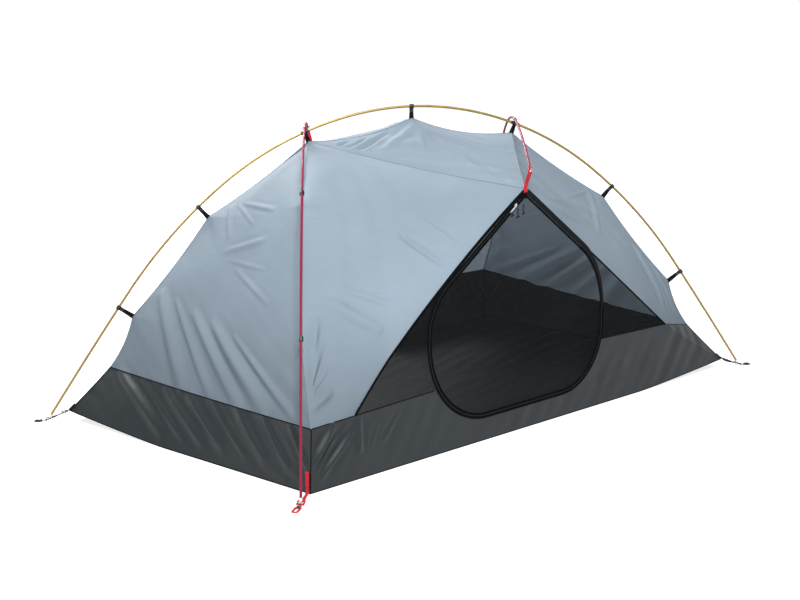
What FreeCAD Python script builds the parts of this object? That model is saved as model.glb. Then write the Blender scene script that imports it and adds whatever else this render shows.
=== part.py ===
import FreeCAD, Part
import math
import os
import Sketcher

from FreeCAD import Placement, Rotation, Vector

# Two-person dome tent: the inner tent hung from one long gold pole and two short red poles.
# Millimetres. Origin: middle of the floor, on the ground. X runs along the length of the floor,
# -Y is the front door, +Z is up. The tent repeats itself after half a turn about Z, so every
# front piece has a back twin and every left piece a right twin.

UP = Vector(0, 0, 1)
HALF_TURN = Placement(Vector(), Rotation(UP, 180))
HERE = Placement()

SIZES = {
    # floor and bathtub
    "floor_length": 2150,
    "floor_width": 1200,
    "fabric_thick": 1.2,
    "seam_gap": 2.0,
    "tub_red_height": 204,
    "tub_red_inset": 6,
    "tub_gold_height": 173,
    "tub_gold_inset_length": 127,
    "tub_gold_inset_width": 71,
    "tub_crest_x": 341,
    "tub_crest_height": 238,
    "tub_bend_x": 710,
    "tub_bend_height": 227,
    # poles
    "pole_od": 8.5,
    "pole_bore": 7.3,
    "pole_foot_height": 21,
    "section_gap": 0.4,
    "gold_peak": 1035,
    "gold_foot_out": 62,
    "gold_flatness": 1.27,
    "gold_sections": 7,
    "red_length": 2218,
    "red_foot_out_x": 88,
    "red_foot_out_y": 51,
    "red_flatness": 1.0,
    "red_tip_slope": -15,
    "red_sections": 4,
    "ferrule_od": 6.8,
    "ferrule_bore": 4.6,
    "ferrule_length": 70,
    "cord_diameter": 2.6,
    "tip_shoulder": 9,
    "tip_nipple_diameter": 4.4,
    "tip_nipple_length": 13,
    "tip_spigot_length": 16,
    # hub and hooks, as shares of a pole's length and drops from pole to fabric
    "hub_share": 0.385,
    "hook_low_share": 0.1258,
    "hook_high_share": 0.2535,
    "red_hook_low_share": 0.222,
    "red_hook_high_share": 0.477,
    "hub_stack": 14,
    "sleeve_od": 12.4,
    "sleeve_bore": 9.3,
    "sleeve_length": 30,
    "hub_pin_diameter": 4,
    "hub_pin_sink": 1.0,
    "hub_drop": 35,
    "crown_drop": 40,
    "hook_drop_low": 58,
    "hook_drop_high": 50,
    "hook_wall": 3.2,
    "hook_width": 14,
    "hook_clearance": 0.35,
    "hook_tail": 13,
    "tape_width": 16,
    "tape_thick": 1.5,
    # door wall: the mesh triangle and the zip line of the door in it
    "apex_x": -88,
    "apex_height": 824,
    "mesh_left_x": -887,
    "mesh_left_bulge": 44,
    "door_left": -548,
    "door_right": 333,
    "door_bottom": 87,
    "door_left_shoulder": 496,
    "door_right_shoulder": 497,
    "door_top_x": -86,
    "door_top": 807,
    "door_radius_left_low": 285,
    "door_radius_right_low": 210,
    "door_radius_right_high": 290,
    "door_radius_left_high": 200,
    "zip_gap": 3.0,
    "zip_split": 0.8,
    "zip_thick": 2.8,
    "zip_chain": 1.7,
    "hinge_length": 370,
    "slider_rest": 62,
    "slider_length": 14,
    "slider_width": 9,
    "slider_plate": 1.4,
    "puller_length": 30,
    "puller_width": 5.6,
    "puller_thick": 1.2,
    "door_tape_width": 13,
    # corners
    "gold_corner_lift": 32,
    "strap_width": 16,
    "strap_thick": 1.6,
    "grommet_od": 17,
    "grommet_hole": 5.4,
    "grommet_thick": 1.6,
    "adjuster_length": 24,
    "adjuster_width": 24,
    "adjuster_thick": 3,
    "hook_ring_od": 16,
    "hook_ring_wire": 3,
    "gold_loop_length": 34,
    "red_loop_length": 58,
    "loop_width": 24,
    "loop_band": 8,
    "loop_thick": 3,
    "toggle_diameter": 6,
    "toggle_length": 16,
    "toggle_drop": 30,
}

doc = FreeCAD.newDocument("dome_tent")
sheet = doc.addObject("Spreadsheet::Sheet", "Sizes")
for row, (alias, number) in enumerate(SIZES.items(), start=1):
    sheet.set(f"A{row}", alias)
    sheet.set(f"B{row}", str(number))
    sheet.setAlias(f"B{row}", alias)
doc.recompute()

subparts = []


def size(alias):
    return float(sheet.get(alias))


# ---------------------------------------------------------------- document helpers

def add_body(label, placement=HERE):
    body = doc.addObject("PartDesign::Body", label)
    body.Label = label
    body.Placement = placement
    subparts.append(body)
    return body


def origin_plane(body, role):
    return next(item for item in body.Origin.OriginFeatures if item.Role == role)


def add_sketch(body, role, name):
    sketch = body.newObject("Sketcher::SketchObject", name)
    sketch.AttachmentSupport = [(origin_plane(body, role), "")]
    sketch.MapMode = "FlatFace"
    return sketch


def add_shape(label, shape, placement=HERE):
    """A sub-part whose shape is worked out from the sheet by the functions below."""
    feature = doc.addObject("Part::Feature", label)
    feature.Label = label
    feature.Shape = shape
    feature.Placement = placement
    subparts.append(feature)
    return feature


def circle_sketch(body, role, name, centre_x, diameters):
    """Concentric circles around (centre_x, 0), each diameter bound to a cell of the sheet."""
    sketch = add_sketch(body, role, name)
    for alias in diameters:
        circle = sketch.addGeometry(
            Part.Circle(Vector(centre_x, 0, 0), UP, size(alias) / 2))
        sketch.addConstraint(Sketcher.Constraint("PointOnObject", circle, 3, -1))
        sketch.addConstraint(Sketcher.Constraint("DistanceX", -1, 1, circle, 3, centre_x))
        radius = sketch.addConstraint(
            Sketcher.Constraint("Radius", circle, size(alias) / 2))
        sketch.setExpression(f"Constraints[{radius}]", f"<<Sizes>>.{alias} / 2")
    return sketch


def polygon_sketch(body, role, name, corners):
    """A closed polygon whose corners are pairs of expressions of the sheet's cells."""
    sketch = add_sketch(body, role, name)
    points = [Vector(evaluate(across), evaluate(up), 0) for across, up in corners]
    for start, end in zip(points, points[1:] + points[:1]):
        sketch.addGeometry(Part.LineSegment(start, end))
    for line, (across, up) in enumerate(corners):
        sketch.addConstraint(
            Sketcher.Constraint("Coincident", line, 2, (line + 1) % len(corners), 1))
        for kind, text in (("DistanceX", across), ("DistanceY", up)):
            place = sketch.addConstraint(
                Sketcher.Constraint(kind, -1, 1, line, 1, evaluate(text)))
            sketch.setExpression(f"Constraints[{place}]", text)
    return sketch


def evaluate(text):
    return float(sheet.evalExpression(text.replace("<<Sizes>>.", "")))


def cell(alias):
    return f"<<Sizes>>.{alias}"


# ---------------------------------------------------------------- bent poles

class Pole:
    """A pole bent in an upright plane: a chain of tangent arcs, one to a section."""

    def __init__(self, heading, lengths, turns, slope):
        self.heading = heading
        self.foot = Vector()
        self.arcs = []
        reach, height = 0.0, 0.0
        start = 0.0
        for length, turn in zip(lengths, turns):
            radius = length / turn
            self.arcs.append((start, length, reach, height, slope, radius))
            reach += radius * (math.sin(slope) - math.sin(slope - turn))
            height += radius * (math.cos(slope - turn) - math.cos(slope))
            slope -= turn
            start += length
        self.length = start
        self.reach = reach

    def flat(self, distance):
        """Reach, height and slope at a distance along the pole, in the pole's plane."""
        arc = max((arc for arc in self.arcs if arc[0] <= distance), default=self.arcs[0])
        start, _, reach, height, slope, radius = arc
        turn = (distance - start) / radius
        reach += radius * (math.sin(slope) - math.sin(slope - turn))
        height += radius * (math.cos(slope - turn) - math.cos(slope))
        return reach, height, slope - turn

    def frame(self, distance):
        """Point, tangent and the direction from the pole towards the fabric below it."""
        reach, height, slope = self.flat(distance)
        point = self.foot + self.heading * reach + UP * height
        tangent = self.heading * math.cos(slope) + UP * math.sin(slope)
        inward = self.heading * math.sin(slope) - UP * math.cos(slope)
        return point, tangent, inward

    def placement(self, distance, offset=0.0):
        """Local X along the pole, local Z away from the fabric."""
        point, tangent, inward = self.frame(distance)
        outward = inward * -1
        turn = Rotation(tangent, outward.cross(tangent), outward, "XZY")
        return Placement(point + inward * offset, turn)


def bend_shares(flatness, count):
    """Share of the whole turn in each of the equal sections; most of it at mid length."""
    def turned(place):
        return 0.5 + (place - flatness * place ** 3 / 3) / (1 - flatness / 3) / 2
    edges = [turned(-1 + 2 * index / count) for index in range(count + 1)]
    return [after - before for before, after in zip(edges, edges[1:])]


def bent_pole(heading, slope, end_slope, length, flatness, count):
    turn = slope - end_slope
    turns = [turn * share for share in bend_shares(flatness, count)]
    return Pole(heading, [length / count] * count, turns, slope)


def solve(gap, low, high):
    """The value between low and high where the rising function gap crosses zero."""
    for _ in range(50):
        middle = (low + high) / 2
        if gap(middle) < 0:
            low = middle
        else:
            high = middle
    return (low + high) / 2


def make_gold_pole():
    half_length = size("floor_length") / 2
    half_width = size("floor_width") / 2
    heading = Vector(half_length, -half_width, 0).normalize()
    half_span = math.hypot(half_length, half_width) + size("gold_foot_out")
    rise = size("gold_peak") - size("pole_foot_height")
    count = int(size("gold_sections"))
    flatness = size("gold_flatness")

    def unit_pole(slope):
        return bent_pole(heading, slope, -slope, 1.0, flatness, count)

    def too_high(slope):
        pole = unit_pole(slope)
        return pole.flat(0.5)[1] / pole.reach - rise / (2 * half_span)

    slope = solve(too_high, 0.5, 1.3)
    length = 2 * half_span / unit_pole(slope).reach
    pole = bent_pole(heading, slope, -slope, length, flatness, count)
    pole.foot = heading * -half_span + UP * size("pole_foot_height")
    return pole


def make_red_pole(gold):
    """The red pole that stands at the front left corner and crosses over the gold one."""
    hub, _, _ = gold.frame(gold.length * size("hub_share"))
    foot = Vector(-size("floor_length") / 2 - size("red_foot_out_x"),
                  -size("floor_width") / 2 - size("red_foot_out_y"),
                  size("pole_foot_height"))
    flat = Vector(hub.x - foot.x, hub.y - foot.y, 0)
    rise = hub.z + size("hub_stack") - foot.z
    count = int(size("red_sections"))

    def pole_with(slope):
        return bent_pole(Vector(flat).normalize(), slope, math.radians(size("red_tip_slope")),
                         size("red_length"), size("red_flatness"), count)

    def too_high(slope):
        pole = pole_with(slope)
        return pole.flat(length_at_reach(pole, flat.Length))[1] - rise

    pole = pole_with(solve(too_high, 0.9, 1.4))
    pole.foot = foot
    pole.hub_distance = length_at_reach(pole, flat.Length)
    return pole


def length_at_reach(pole, reach):
    return solve(lambda distance: pole.flat(distance)[0] - reach, 0, pole.length)


def add_pole_sections(pole, label, placement=HERE):
    """Each section is a ring turned about the centre of its arc."""
    for number, arc in enumerate(pole.arcs, start=1):
        start, length, _, _, _, radius = arc
        point, tangent, inward = pole.frame(start + size("section_gap") / 2)
        centre = point + inward * radius
        facing = Rotation(inward * -1, tangent, (inward * -1).cross(tangent), "XYZ")
        body = add_body(f"{label}_{number}", placement * Placement(centre, facing))
        sketch = circle_sketch(body, "XZ_Plane", f"{label}_{number}_ring", radius,
                               ("pole_od", "pole_bore"))
        turned = body.newObject("PartDesign::Revolution", f"{label}_{number}_tube")
        turned.Profile = sketch
        turned.ReferenceAxis = (sketch, ["V_Axis"])
        turned.Angle = math.degrees((length - size("section_gap")) / radius)
        doc.recompute()
        if turned.Shape.BoundBox.YMax < size("pole_od"):
            turned.Reversed = True


def path_along(pole, start, end):
    """Tangent arcs along the pole, from one distance to another."""
    cuts = [start] + [arc[0] for arc in pole.arcs if start < arc[0] < end] + [end]
    edges = []
    for first, last in zip(cuts, cuts[1:]):
        middle, _, _ = pole.frame((first + last) / 2)
        near = pole.frame(first)[0]
        far = pole.frame(last)[0]
        edges.append(Part.Arc(near, middle, far).toShape())
    return Part.Wire(edges)


def rod_along(pole, start, end, diameter):
    point, tangent, _ = pole.frame(start)
    ring = Part.Wire(Part.makeCircle(diameter / 2, point, tangent))
    return path_along(pole, start, end).makePipeShell([ring], True, False)


def ferrules(pole):
    """A tube inside each joint between two sections."""
    tubes = []
    for arc in pole.arcs[1:]:
        start = arc[0] - size("ferrule_length") / 2
        end = arc[0] + size("ferrule_length") / 2
        outer = rod_along(pole, start, end, size("ferrule_od"))
        bore = rod_along(pole, start - 1, end + 1, size("ferrule_bore"))
        tubes.append(outer.cut(bore))
    return tubes


def shock_cord(pole):
    slack = size("tip_spigot_length") / 2
    return rod_along(pole, slack, pole.length - slack, size("cord_diameter"))


def pole_tip():
    """Turned end piece: a spigot in the tube, a shoulder on its end and a nipple beyond."""
    spigot = size("pole_bore") / 2 - 0.3
    shoulder = size("pole_od") / 2
    nipple = size("tip_nipple_diameter") / 2
    hollow = size("cord_diameter") / 2 + 0.4
    shoulder_end = -size("tip_shoulder")
    nipple_end = shoulder_end - size("tip_nipple_length")
    spigot_end = size("tip_spigot_length")
    rim = [(0, nipple_end), (nipple, nipple_end), (nipple, shoulder_end),
           (shoulder, shoulder_end), (shoulder, 0), (spigot, 0), (spigot, spigot_end),
           (hollow, spigot_end), (hollow, 2), (0, 2)]
    points = [Vector(along, across, 0) for across, along in rim]
    face = Part.Face(Part.makePolygon(points + points[:1]))
    return face.revolve(Vector(), Vector(1, 0, 0), 360)


def tips_at(pole, ends):
    """Pole tips at the foot (end 0) or the far end (end 1) of a pole."""
    tips = []
    for end in ends:
        tip = pole_tip()
        point, tangent, inward = pole.frame(pole.length * end)
        along = tangent if end == 0 else tangent * -1
        tip.Placement = Placement(point, Rotation(along, inward, along.cross(inward), "XYZ"))
        tips.append(tip)
    return tips


# ---------------------------------------------------------------- hub, hooks and tapes

def tube(outer, bore, length):
    """A tube along local X, centred on the origin."""
    start = Vector(-length / 2, 0, 0)
    along = Vector(1, 0, 0)
    solid = Part.makeCylinder(outer / 2, length, start, along)
    return solid.cut(Part.makeCylinder(bore / 2, length, start, along))


def hub_sleeves(gold, red):
    """One sleeve around each pole where they cross."""
    sleeves = []
    for pole, distance in ((gold, gold.length * size("hub_share")), (red, red.hub_distance)):
        sleeve = tube(size("sleeve_od"), size("sleeve_bore"), size("sleeve_length"))
        sleeve.Placement = pole.placement(distance)
        sleeves.append(sleeve)
    return sleeves


def hub_pin(gold):
    """The rivet that lets one sleeve swivel on the other, set in both their walls."""
    place, _, _ = gold.frame(gold.length * size("hub_share"))
    start = size("sleeve_bore") / 2 + size("hub_pin_sink")
    length = size("hub_stack") - 2 * start
    return Part.makeCylinder(size("hub_pin_diameter") / 2, length, place + UP * start, UP)


def hook():
    """Snap hook: an open ring over the pole and a flat tail with a slot for the tape."""
    inner = size("pole_od") / 2 + size("hook_clearance")
    outer = inner + size("hook_wall")
    width = size("hook_width")
    ring = tube(2 * outer, 2 * inner, width)
    mouth = Part.makeBox(width, outer * 1.5, inner * 1.5,
                         Vector(-width / 2, inner * 0.2, -inner * 0.1))
    tail = Part.makeBox(width, size("hook_wall"), size("hook_tail"),
                        Vector(-width / 2, -size("hook_wall") / 2,
                               -outer - size("hook_tail") + 1))
    return ring.cut(mouth).fuse(tail).removeSplitter()


def tape_below(pole, distance, start, end):
    """Webbing from a hook or a hub down to the fabric."""
    strip = Part.makeBox(size("tape_width"), size("tape_thick"), end - start,
                         Vector(-size("tape_width") / 2, -size("tape_thick") / 2, -end))
    strip.Placement = pole.placement(distance)
    return strip


def hook_reach():
    return (size("pole_od") / 2 + size("hook_clearance") + size("hook_wall")
            + size("hook_tail") - 1)


# ---------------------------------------------------------------- fabric

def under(pole, distance, drop):
    point, _, inward = pole.frame(distance)
    return point + inward * drop


def turned(point):
    """The same point after half a turn of the tent."""
    return Vector(-point.x, -point.y, point.z)


def curve_through(points):
    curve = Part.BSplineCurve()
    curve.interpolate(points)
    return curve


def point_on(curve, share):
    first, last = curve.FirstParameter, curve.LastParameter
    return curve.value(first + (last - first) * share)


def panel_between(one, other, start=0.0, end=1.0):
    """Thin fabric ruled between two edges, held back from every seam by the seam gap."""
    gap = size("seam_gap")
    steps = 8
    near, far = [], []
    low = start + gap / one.length()
    high = end - gap / one.length()
    for step in range(steps + 1):
        share = low + (high - low) * step / steps
        first, last = point_on(one, share), point_on(other, share)
        across = Vector(last - first).normalize()
        near.append(first + across * gap)
        far.append(last - across * gap)
    face = Part.makeRuledSurface(curve_through(near).toShape(), curve_through(far).toShape())
    return face.extrude(inward_normal(face) * size("fabric_thick"))


def inward_normal(face):
    u_low, u_high, v_low, v_high = face.ParameterRange
    normal = face.normalAt((u_low + u_high) / 2, (v_low + v_high) / 2)
    inside = Vector(0, 0, size("gold_peak") / 3) - face.CenterOfMass
    return normal if normal.dot(inside) > 0 else normal * -1


def prisms(polygons, thickness):
    """Flat facets with shared edges, all thickened along one direction and joined."""
    solids = [Part.Face(Part.makePolygon(points + points[:1])).extrude(thickness)
              for points in polygons]
    return solids[0].multiFuse(solids[1:]).removeSplitter()


gold = make_gold_pole()
red = make_red_pole(gold)

half_length = size("floor_length") / 2
half_width = size("floor_width") / 2
front = -half_width

hook_low = gold.length * size("hook_low_share")
hook_high = gold.length * size("hook_high_share")
hub_low = gold.length * size("hub_share")
red_hook_low = red.length * size("red_hook_low_share")
red_hook_high = red.length * size("red_hook_high_share")

hub_left = under(gold, hub_low, size("hub_drop"))
hub_right = under(gold, gold.length - hub_low, size("hub_drop"))
crown = under(gold, gold.length / 2, size("crown_drop"))
gold_tips = [under(gold, hook_low, size("hook_drop_low")),
             under(gold, hook_high, size("hook_drop_high"))]
red_tips = [under(red, red_hook_low, size("hook_drop_low")),
            under(red, red_hook_high, size("hook_drop_high"))]

tub_gold_right = Vector(half_length - size("tub_gold_inset_length"),
                        front + size("tub_gold_inset_width"), size("tub_gold_height"))
tub_red_left = Vector(-half_length + size("tub_red_inset"), front, size("tub_red_height"))
tub_crest = Vector(size("tub_crest_x"), front, size("tub_crest_height"))
tub_bend = Vector(size("tub_bend_x"), front, size("tub_bend_height"))
apex = Vector(size("apex_x"), front, size("apex_height"))
mesh_left = tub_red_left + (tub_crest - tub_red_left) * (
    (size("mesh_left_x") - tub_red_left.x) / (tub_crest.x - tub_red_left.x))

gold_edge_left = curve_through([turned(tub_gold_right)] + gold_tips + [hub_left])
gold_edge_right = curve_through([hub_right] + [turned(tip) for tip in reversed(gold_tips)]
                                + [tub_gold_right])
gold_edge_crown = curve_through([hub_left, crown, hub_right])
red_seam = curve_through([tub_red_left] + red_tips + [hub_left])


def bulged_middle(start, end, bulge):
    """Middle of the chord, pushed out square to it in the door wall."""
    chord = end - start
    return (start + end) * 0.5 + Vector(-chord.z, 0, chord.x).normalize() * bulge


mesh_edge_left = Part.Arc(mesh_left, bulged_middle(mesh_left, apex, size("mesh_left_bulge")),
                          apex)
mesh_edge_left_curve = curve_through(mesh_edge_left.toShape().discretize(4))
mesh_edge_right = curve_through([apex, tub_bend])


def roof_panel():
    """The triangle from the crown edge down to the door apex."""
    gap = size("seam_gap")
    steps = 8
    near, far = [], []
    for step in range(steps + 1):
        share = 0.01 + 0.98 * step / steps
        edge = point_on(gold_edge_crown, share)
        across = Vector(apex - edge).normalize()
        near.append(edge + across * gap)
        far.append(apex + (edge - apex) * 0.04)
    face = Part.makeRuledSurface(curve_through(near).toShape(), curve_through(far).toShape())
    return face.extrude(inward_normal(face) * size("fabric_thick"))


def tub_end_wall():
    gap = size("seam_gap")
    lift = UP * (size("fabric_thick") + 0.3)
    low = curve_through([Vector(-half_length, half_width, 0) + lift,
                         Vector(-half_length, front, 0) + lift])
    high = curve_through([turned(tub_gold_right), tub_red_left])
    return panel_between(low, high, gap / size("floor_width"), 1 - gap / size("floor_width"))


# ---------------------------------------------------------------- door wall

def door_corners(side):
    """Corners of the door outline moved out (side 1) or in (side -1) by the zip gap."""
    left_run = size("door_top_x") - size("door_left")
    right_run = size("door_right") - size("door_top_x")
    left_slope = (size("door_top") - size("door_left_shoulder")) / left_run
    right_slope = (size("door_top") - size("door_right_shoulder")) / right_run
    left_lift = math.hypot(1, left_slope) - left_slope
    right_lift = math.hypot(1, right_slope) - right_slope
    top_shift = (math.hypot(1, right_slope) - math.hypot(1, left_slope)) / (
        left_slope + right_slope)
    top_lift = math.hypot(1, left_slope) - left_slope * top_shift

    def moved(alias, factor):
        return f"{cell(alias)} + {side * factor:.5f} * {cell('zip_gap')}"

    return [(moved("door_top_x", top_shift), moved("door_top", top_lift)),
            (moved("door_left", -1), moved("door_left_shoulder", left_lift)),
            (moved("door_left", -1), moved("door_bottom", -1)),
            (moved("door_right", 1), moved("door_bottom", -1)),
            (moved("door_right", 1), moved("door_right_shoulder", right_lift))]


CORNER_RADII = (None, "door_radius_left_high", "door_radius_left_low",
                "door_radius_right_low", "door_radius_right_high")


def upright_edge(shape, across, up):
    """Name of the edge that runs through the thickness of a plate at one corner."""
    for number, edge in enumerate(shape.Edges, start=1):
        ends = [vertex.Point for vertex in edge.Vertexes]
        if len(ends) == 2 and all(math.hypot(end.x - across, end.z - up) < 0.01
                                  for end in ends):
            return f"Edge{number}"
    return None


def round_door_corners(body, side):
    """One fillet to a corner of the outline, each radius bound to its cell."""
    for (across, up), alias in zip(door_corners(side), CORNER_RADII):
        if alias is None:
            continue
        doc.recompute()
        sharp = body.Tip
        edge = upright_edge(sharp.Shape, evaluate(across), evaluate(up))
        if edge is None:
            continue
        rounded = body.newObject("PartDesign::Fillet", f"{body.Label}_{alias}")
        rounded.Base = (sharp, [edge])
        rounded.Radius = size(alias)
        rounded.setExpression("Radius", f"{cell(alias)} + {side} * {cell('zip_gap')}")
        body.Tip = rounded


def wall_placement(placement):
    return placement * Placement(Vector(0, front, 0), Rotation())


def add_door(label, placement):
    body = add_body(label, wall_placement(placement))
    sketch = polygon_sketch(body, "XZ_Plane", f"{label}_outline", door_corners(-1))
    pad = body.newObject("PartDesign::Pad", f"{label}_sheet")
    pad.Profile = sketch
    pad.setExpression("Length", cell("fabric_thick"))
    doc.recompute()
    round_door_corners(body, -1)


def add_mesh(label, placement):
    """The mesh triangle around the door: bulged left edge, straight right edge."""
    body = add_body(label, wall_placement(placement))
    gap = size("seam_gap")
    sketch = add_sketch(body, "XZ_Plane", f"{label}_outline")
    flat = [Vector(point.x, point.z, 0) for point in (
        mesh_left + Vector(gap * 2, 0, gap), tub_crest + UP * gap,
        tub_bend + Vector(-gap * 3, 0, gap), apex + Vector(0, 0, -gap * 1.5))]
    for start, end in zip(flat, flat[1:]):
        sketch.addGeometry(Part.LineSegment(start, end))
    chord = flat[0] - flat[3]
    middle = (flat[0] + flat[3]) * 0.5
    middle += Vector(chord.y, -chord.x, 0).normalize() * (size("mesh_left_bulge") - gap)
    sketch.addGeometry(Part.Arc(flat[3], middle, flat[0]))
    for line in range(4):
        sketch.addConstraint(Sketcher.Constraint("Coincident", line, 2, (line + 1) % 4, 1))
    pad = body.newObject("PartDesign::Pad", f"{label}_sheet")
    pad.Profile = sketch
    pad.setExpression("Length", cell("fabric_thick"))
    doc.recompute()
    hole = polygon_sketch(body, "XZ_Plane", f"{label}_doorway", door_corners(1))
    pocket = body.newObject("PartDesign::Pocket", f"{label}_cut")
    pocket.Profile = hole
    pocket.Type = "ThroughAll"
    pocket.Midplane = True
    doc.recompute()
    round_door_corners(body, 1)


def rounded_outline(corners, radii):
    """Closed wire of straight runs joined by tangent arcs."""
    runs = []
    count = len(corners)
    for index, corner in enumerate(corners):
        before = Vector(corners[index - 1] - corner).normalize()
        after = Vector(corners[(index + 1) % count] - corner).normalize()
        radius = radii[index]
        half = before.getAngle(after) / 2
        cut = radius / math.tan(half) if radius else 0.0
        bisector = Vector(before + after).normalize()
        middle = corner + bisector * (radius / math.sin(half) - radius if radius else 0.0)
        runs.append((corner + before * cut, middle, corner + after * cut))
    edges = []
    for index, (start, middle, end) in enumerate(runs):
        if (end - start).Length > 0.001:
            edges.append(Part.Arc(start, middle, end).toShape())
        edges.append(Part.LineSegment(end, runs[(index + 1) % count][0]).toShape())
    return Part.Wire(edges)


def door_outline():
    corners = [(size("door_top_x"), size("door_top")),
               (size("door_left"), size("door_left_shoulder")),
               (size("door_left"), size("door_bottom")),
               (size("door_right"), size("door_bottom")),
               (size("door_right"), size("door_right_shoulder"))]
    radii = [size(alias) if alias else 0.0 for alias in CORNER_RADII]
    return rounded_outline([Vector(x, front, z) for x, z in corners], radii)


def slab(wire, inner, outer):
    """Everything of the door wall inside an outline, between two distances outwards."""
    face = Part.Face(wire)
    face.translate(Vector(0, -inner, 0))
    return face.extrude(Vector(0, inner - outer, 0))


def offset_outline(distance):
    outline = door_outline()
    moved = outline.makeOffset2D(distance, join=2)
    if (moved.BoundBox.XLength > outline.BoundBox.XLength) != (distance > 0):
        moved = outline.makeOffset2D(-distance, join=2)
    return moved


door_top = Vector(size("door_top_x"), front, size("door_top"))
right_run = Vector(size("door_right") - size("door_top_x"), 0,
                   size("door_right_shoulder") - size("door_top")).normalize()
left_run = Vector(size("door_left") - size("door_top_x"), 0,
                  size("door_left_shoulder") - size("door_top")).normalize()


def oriented_box(length, width, depth, corner, along, across):
    """A box from its corner, its length along one direction and its width along another."""
    box = Part.makeBox(length, width, depth)
    box.Placement = Placement(corner, Rotation(along, across, along.cross(across), "XYZ"))
    return box


def zip_chain(near, far):
    """One half of the zip: a strip along the outline, left out along the sewn edge."""
    inner = -(size("zip_thick") - size("fabric_thick")) / 2
    outer = inner + size("zip_thick")
    strip = slab(offset_outline(max(near, far)), inner, outer)
    strip = strip.cut(slab(offset_outline(min(near, far)), inner - 1, outer + 1))
    outward = Vector(0, -1, 0)
    across = outward.cross(right_run)
    sewn = oriented_box(size("hinge_length") + 60, 60, 40,
                        door_top - right_run * 60 - across * 30 - outward * 20,
                        right_run, across)
    cut_left = oriented_box(30, 60, 40,
                            door_top - left_run * 12 - outward.cross(left_run) * 30
                            - outward * 20, left_run, outward.cross(left_run))
    return strip.cut(sewn).cut(cut_left)


def front_tub_wall():
    thick = size("fabric_thick")
    lift = thick + 0.3
    gap = size("seam_gap")
    left_low = Vector(-half_length + gap, front, lift)
    bend_low = Vector(size("tub_bend_x"), front, lift)
    right_low = Vector(half_length - gap, front, lift)
    left_high = tub_red_left + Vector(gap, 0, -gap)
    crest = tub_crest - UP * gap
    bend = tub_bend - UP * gap
    right_high = tub_gold_right + Vector(-gap, 0, -gap)
    wall = prisms([[left_low, bend_low, bend, crest, left_high],
                   [bend_low, right_low, bend],
                   [bend, right_low, right_high]], Vector(0, -thick, 0))
    doorway = slab(offset_outline(size("zip_gap")), -10, 10)
    return wall.cut(doorway)


def door_tape():
    """The wide black tape over the sewn edge of the door, on the wall beside it."""
    outward = Vector(0, -1, 0)
    across = outward.cross(right_run)
    if across.z < 0:
        across = across * -1
    start = door_top + right_run * 20 + across * 4 + outward * (size("fabric_thick") + 0.3)
    box = Part.makeBox(size("hinge_length") - 30, size("door_tape_width"), 0.9)
    facing = Rotation(right_run, across, right_run.cross(across), "XYZ")
    box.Placement = Placement(start, facing)
    if box.BoundBox.YMax > start.y + 0.01:
        box.translate(outward * 0.9)
    return box


def slider_frame():
    """Local X down the zip, local Y out of the wall, local Z towards the wall's side."""
    outward = Vector(0, -1, 0)
    place = door_top + left_run * size("slider_rest")
    return Placement(place, Rotation(left_run, outward, left_run.cross(outward), "XYZ"))


def block(low, high):
    """A box between two opposite corners."""
    low, high = Vector(*low), Vector(*high)
    span = high - low
    return Part.makeBox(span.x, span.y, span.z, low)


PIN = (4.0, 6.3)
PIN_RADIUS = 0.8


def slider():
    """Zip slider: it runs on the door's half of the zip and reaches over the other half."""
    long, wide = size("slider_length") / 2, size("slider_width") / 2
    face = (size("zip_thick") + size("fabric_thick")) / 2 + 0.4
    back = -(size("zip_thick") - size("fabric_thick")) / 2 - 0.4
    plate = size("slider_plate")
    split = size("zip_split") - 0.3
    pieces = [block((-long, face, -wide), (long, face + plate, wide)),
              block((-long, back - plate, -wide), (long, back, split)),
              block((-2, back - plate, -split), (2, face + plate, split)),
              block((PIN[0] - 2, face + plate - 0.2, 2.1), (PIN[0] + 2, PIN[1] + 1.3, 3.3)),
              block((PIN[0] - 2, face + plate - 0.2, -3.3), (PIN[0] + 2, PIN[1] + 1.3, -2.1)),
              Part.makeCylinder(PIN_RADIUS, 6.6, Vector(PIN[0], PIN[1], -3.3), UP)]
    return pieces[0].multiFuse(pieces[1:]).removeSplitter()


def puller():
    """Tab with an eye around the slider's pin."""
    length, wide = size("puller_length"), size("puller_width") / 2
    thick = size("puller_thick") / 2
    eye = Part.makeCylinder(2.1, 3.2, Vector(PIN[0], PIN[1], -1.6), UP)
    neck = block((PIN[0] + 1, PIN[1] - thick, -1.6), (PIN[0] + 5, PIN[1] + thick, 1.6))
    tab = block((PIN[0] + 4.5, PIN[1] - thick, -wide), (PIN[0] + length, PIN[1] + thick, wide))
    window = block((PIN[0] + length - 9, -50, -wide + 1.6),
                   (PIN[0] + length - 2, 50, wide - 1.6))
    pin = Part.makeCylinder(PIN_RADIUS + 0.35, 10, Vector(PIN[0], PIN[1], -5), UP)
    return eye.multiFuse([neck, tab]).cut(window).cut(pin).removeSplitter()


def door_ties():
    """Cord loops with toggles, sewn inside the top of the doorway to hold the door back."""
    pieces = []
    inside = front + 6
    for shift, drop in ((-54, 14), (-26, 22), (2, 14)):
        top = Vector(size("apex_x") + shift, inside, size("apex_height") - 40 - drop)
        cord = Part.makeCylinder(1.2, size("toggle_drop"), top, UP * -1)
        low = top - UP * (size("toggle_drop") + size("toggle_diameter") / 2 - 1)
        toggle = Part.makeCylinder(size("toggle_diameter") / 2, size("toggle_length"),
                                   low - Vector(size("toggle_length") / 2, 0, 0),
                                   Vector(1, 0, 0))
        pieces.append(cord.fuse(toggle))
    return pieces


# ---------------------------------------------------------------- corners

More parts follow.
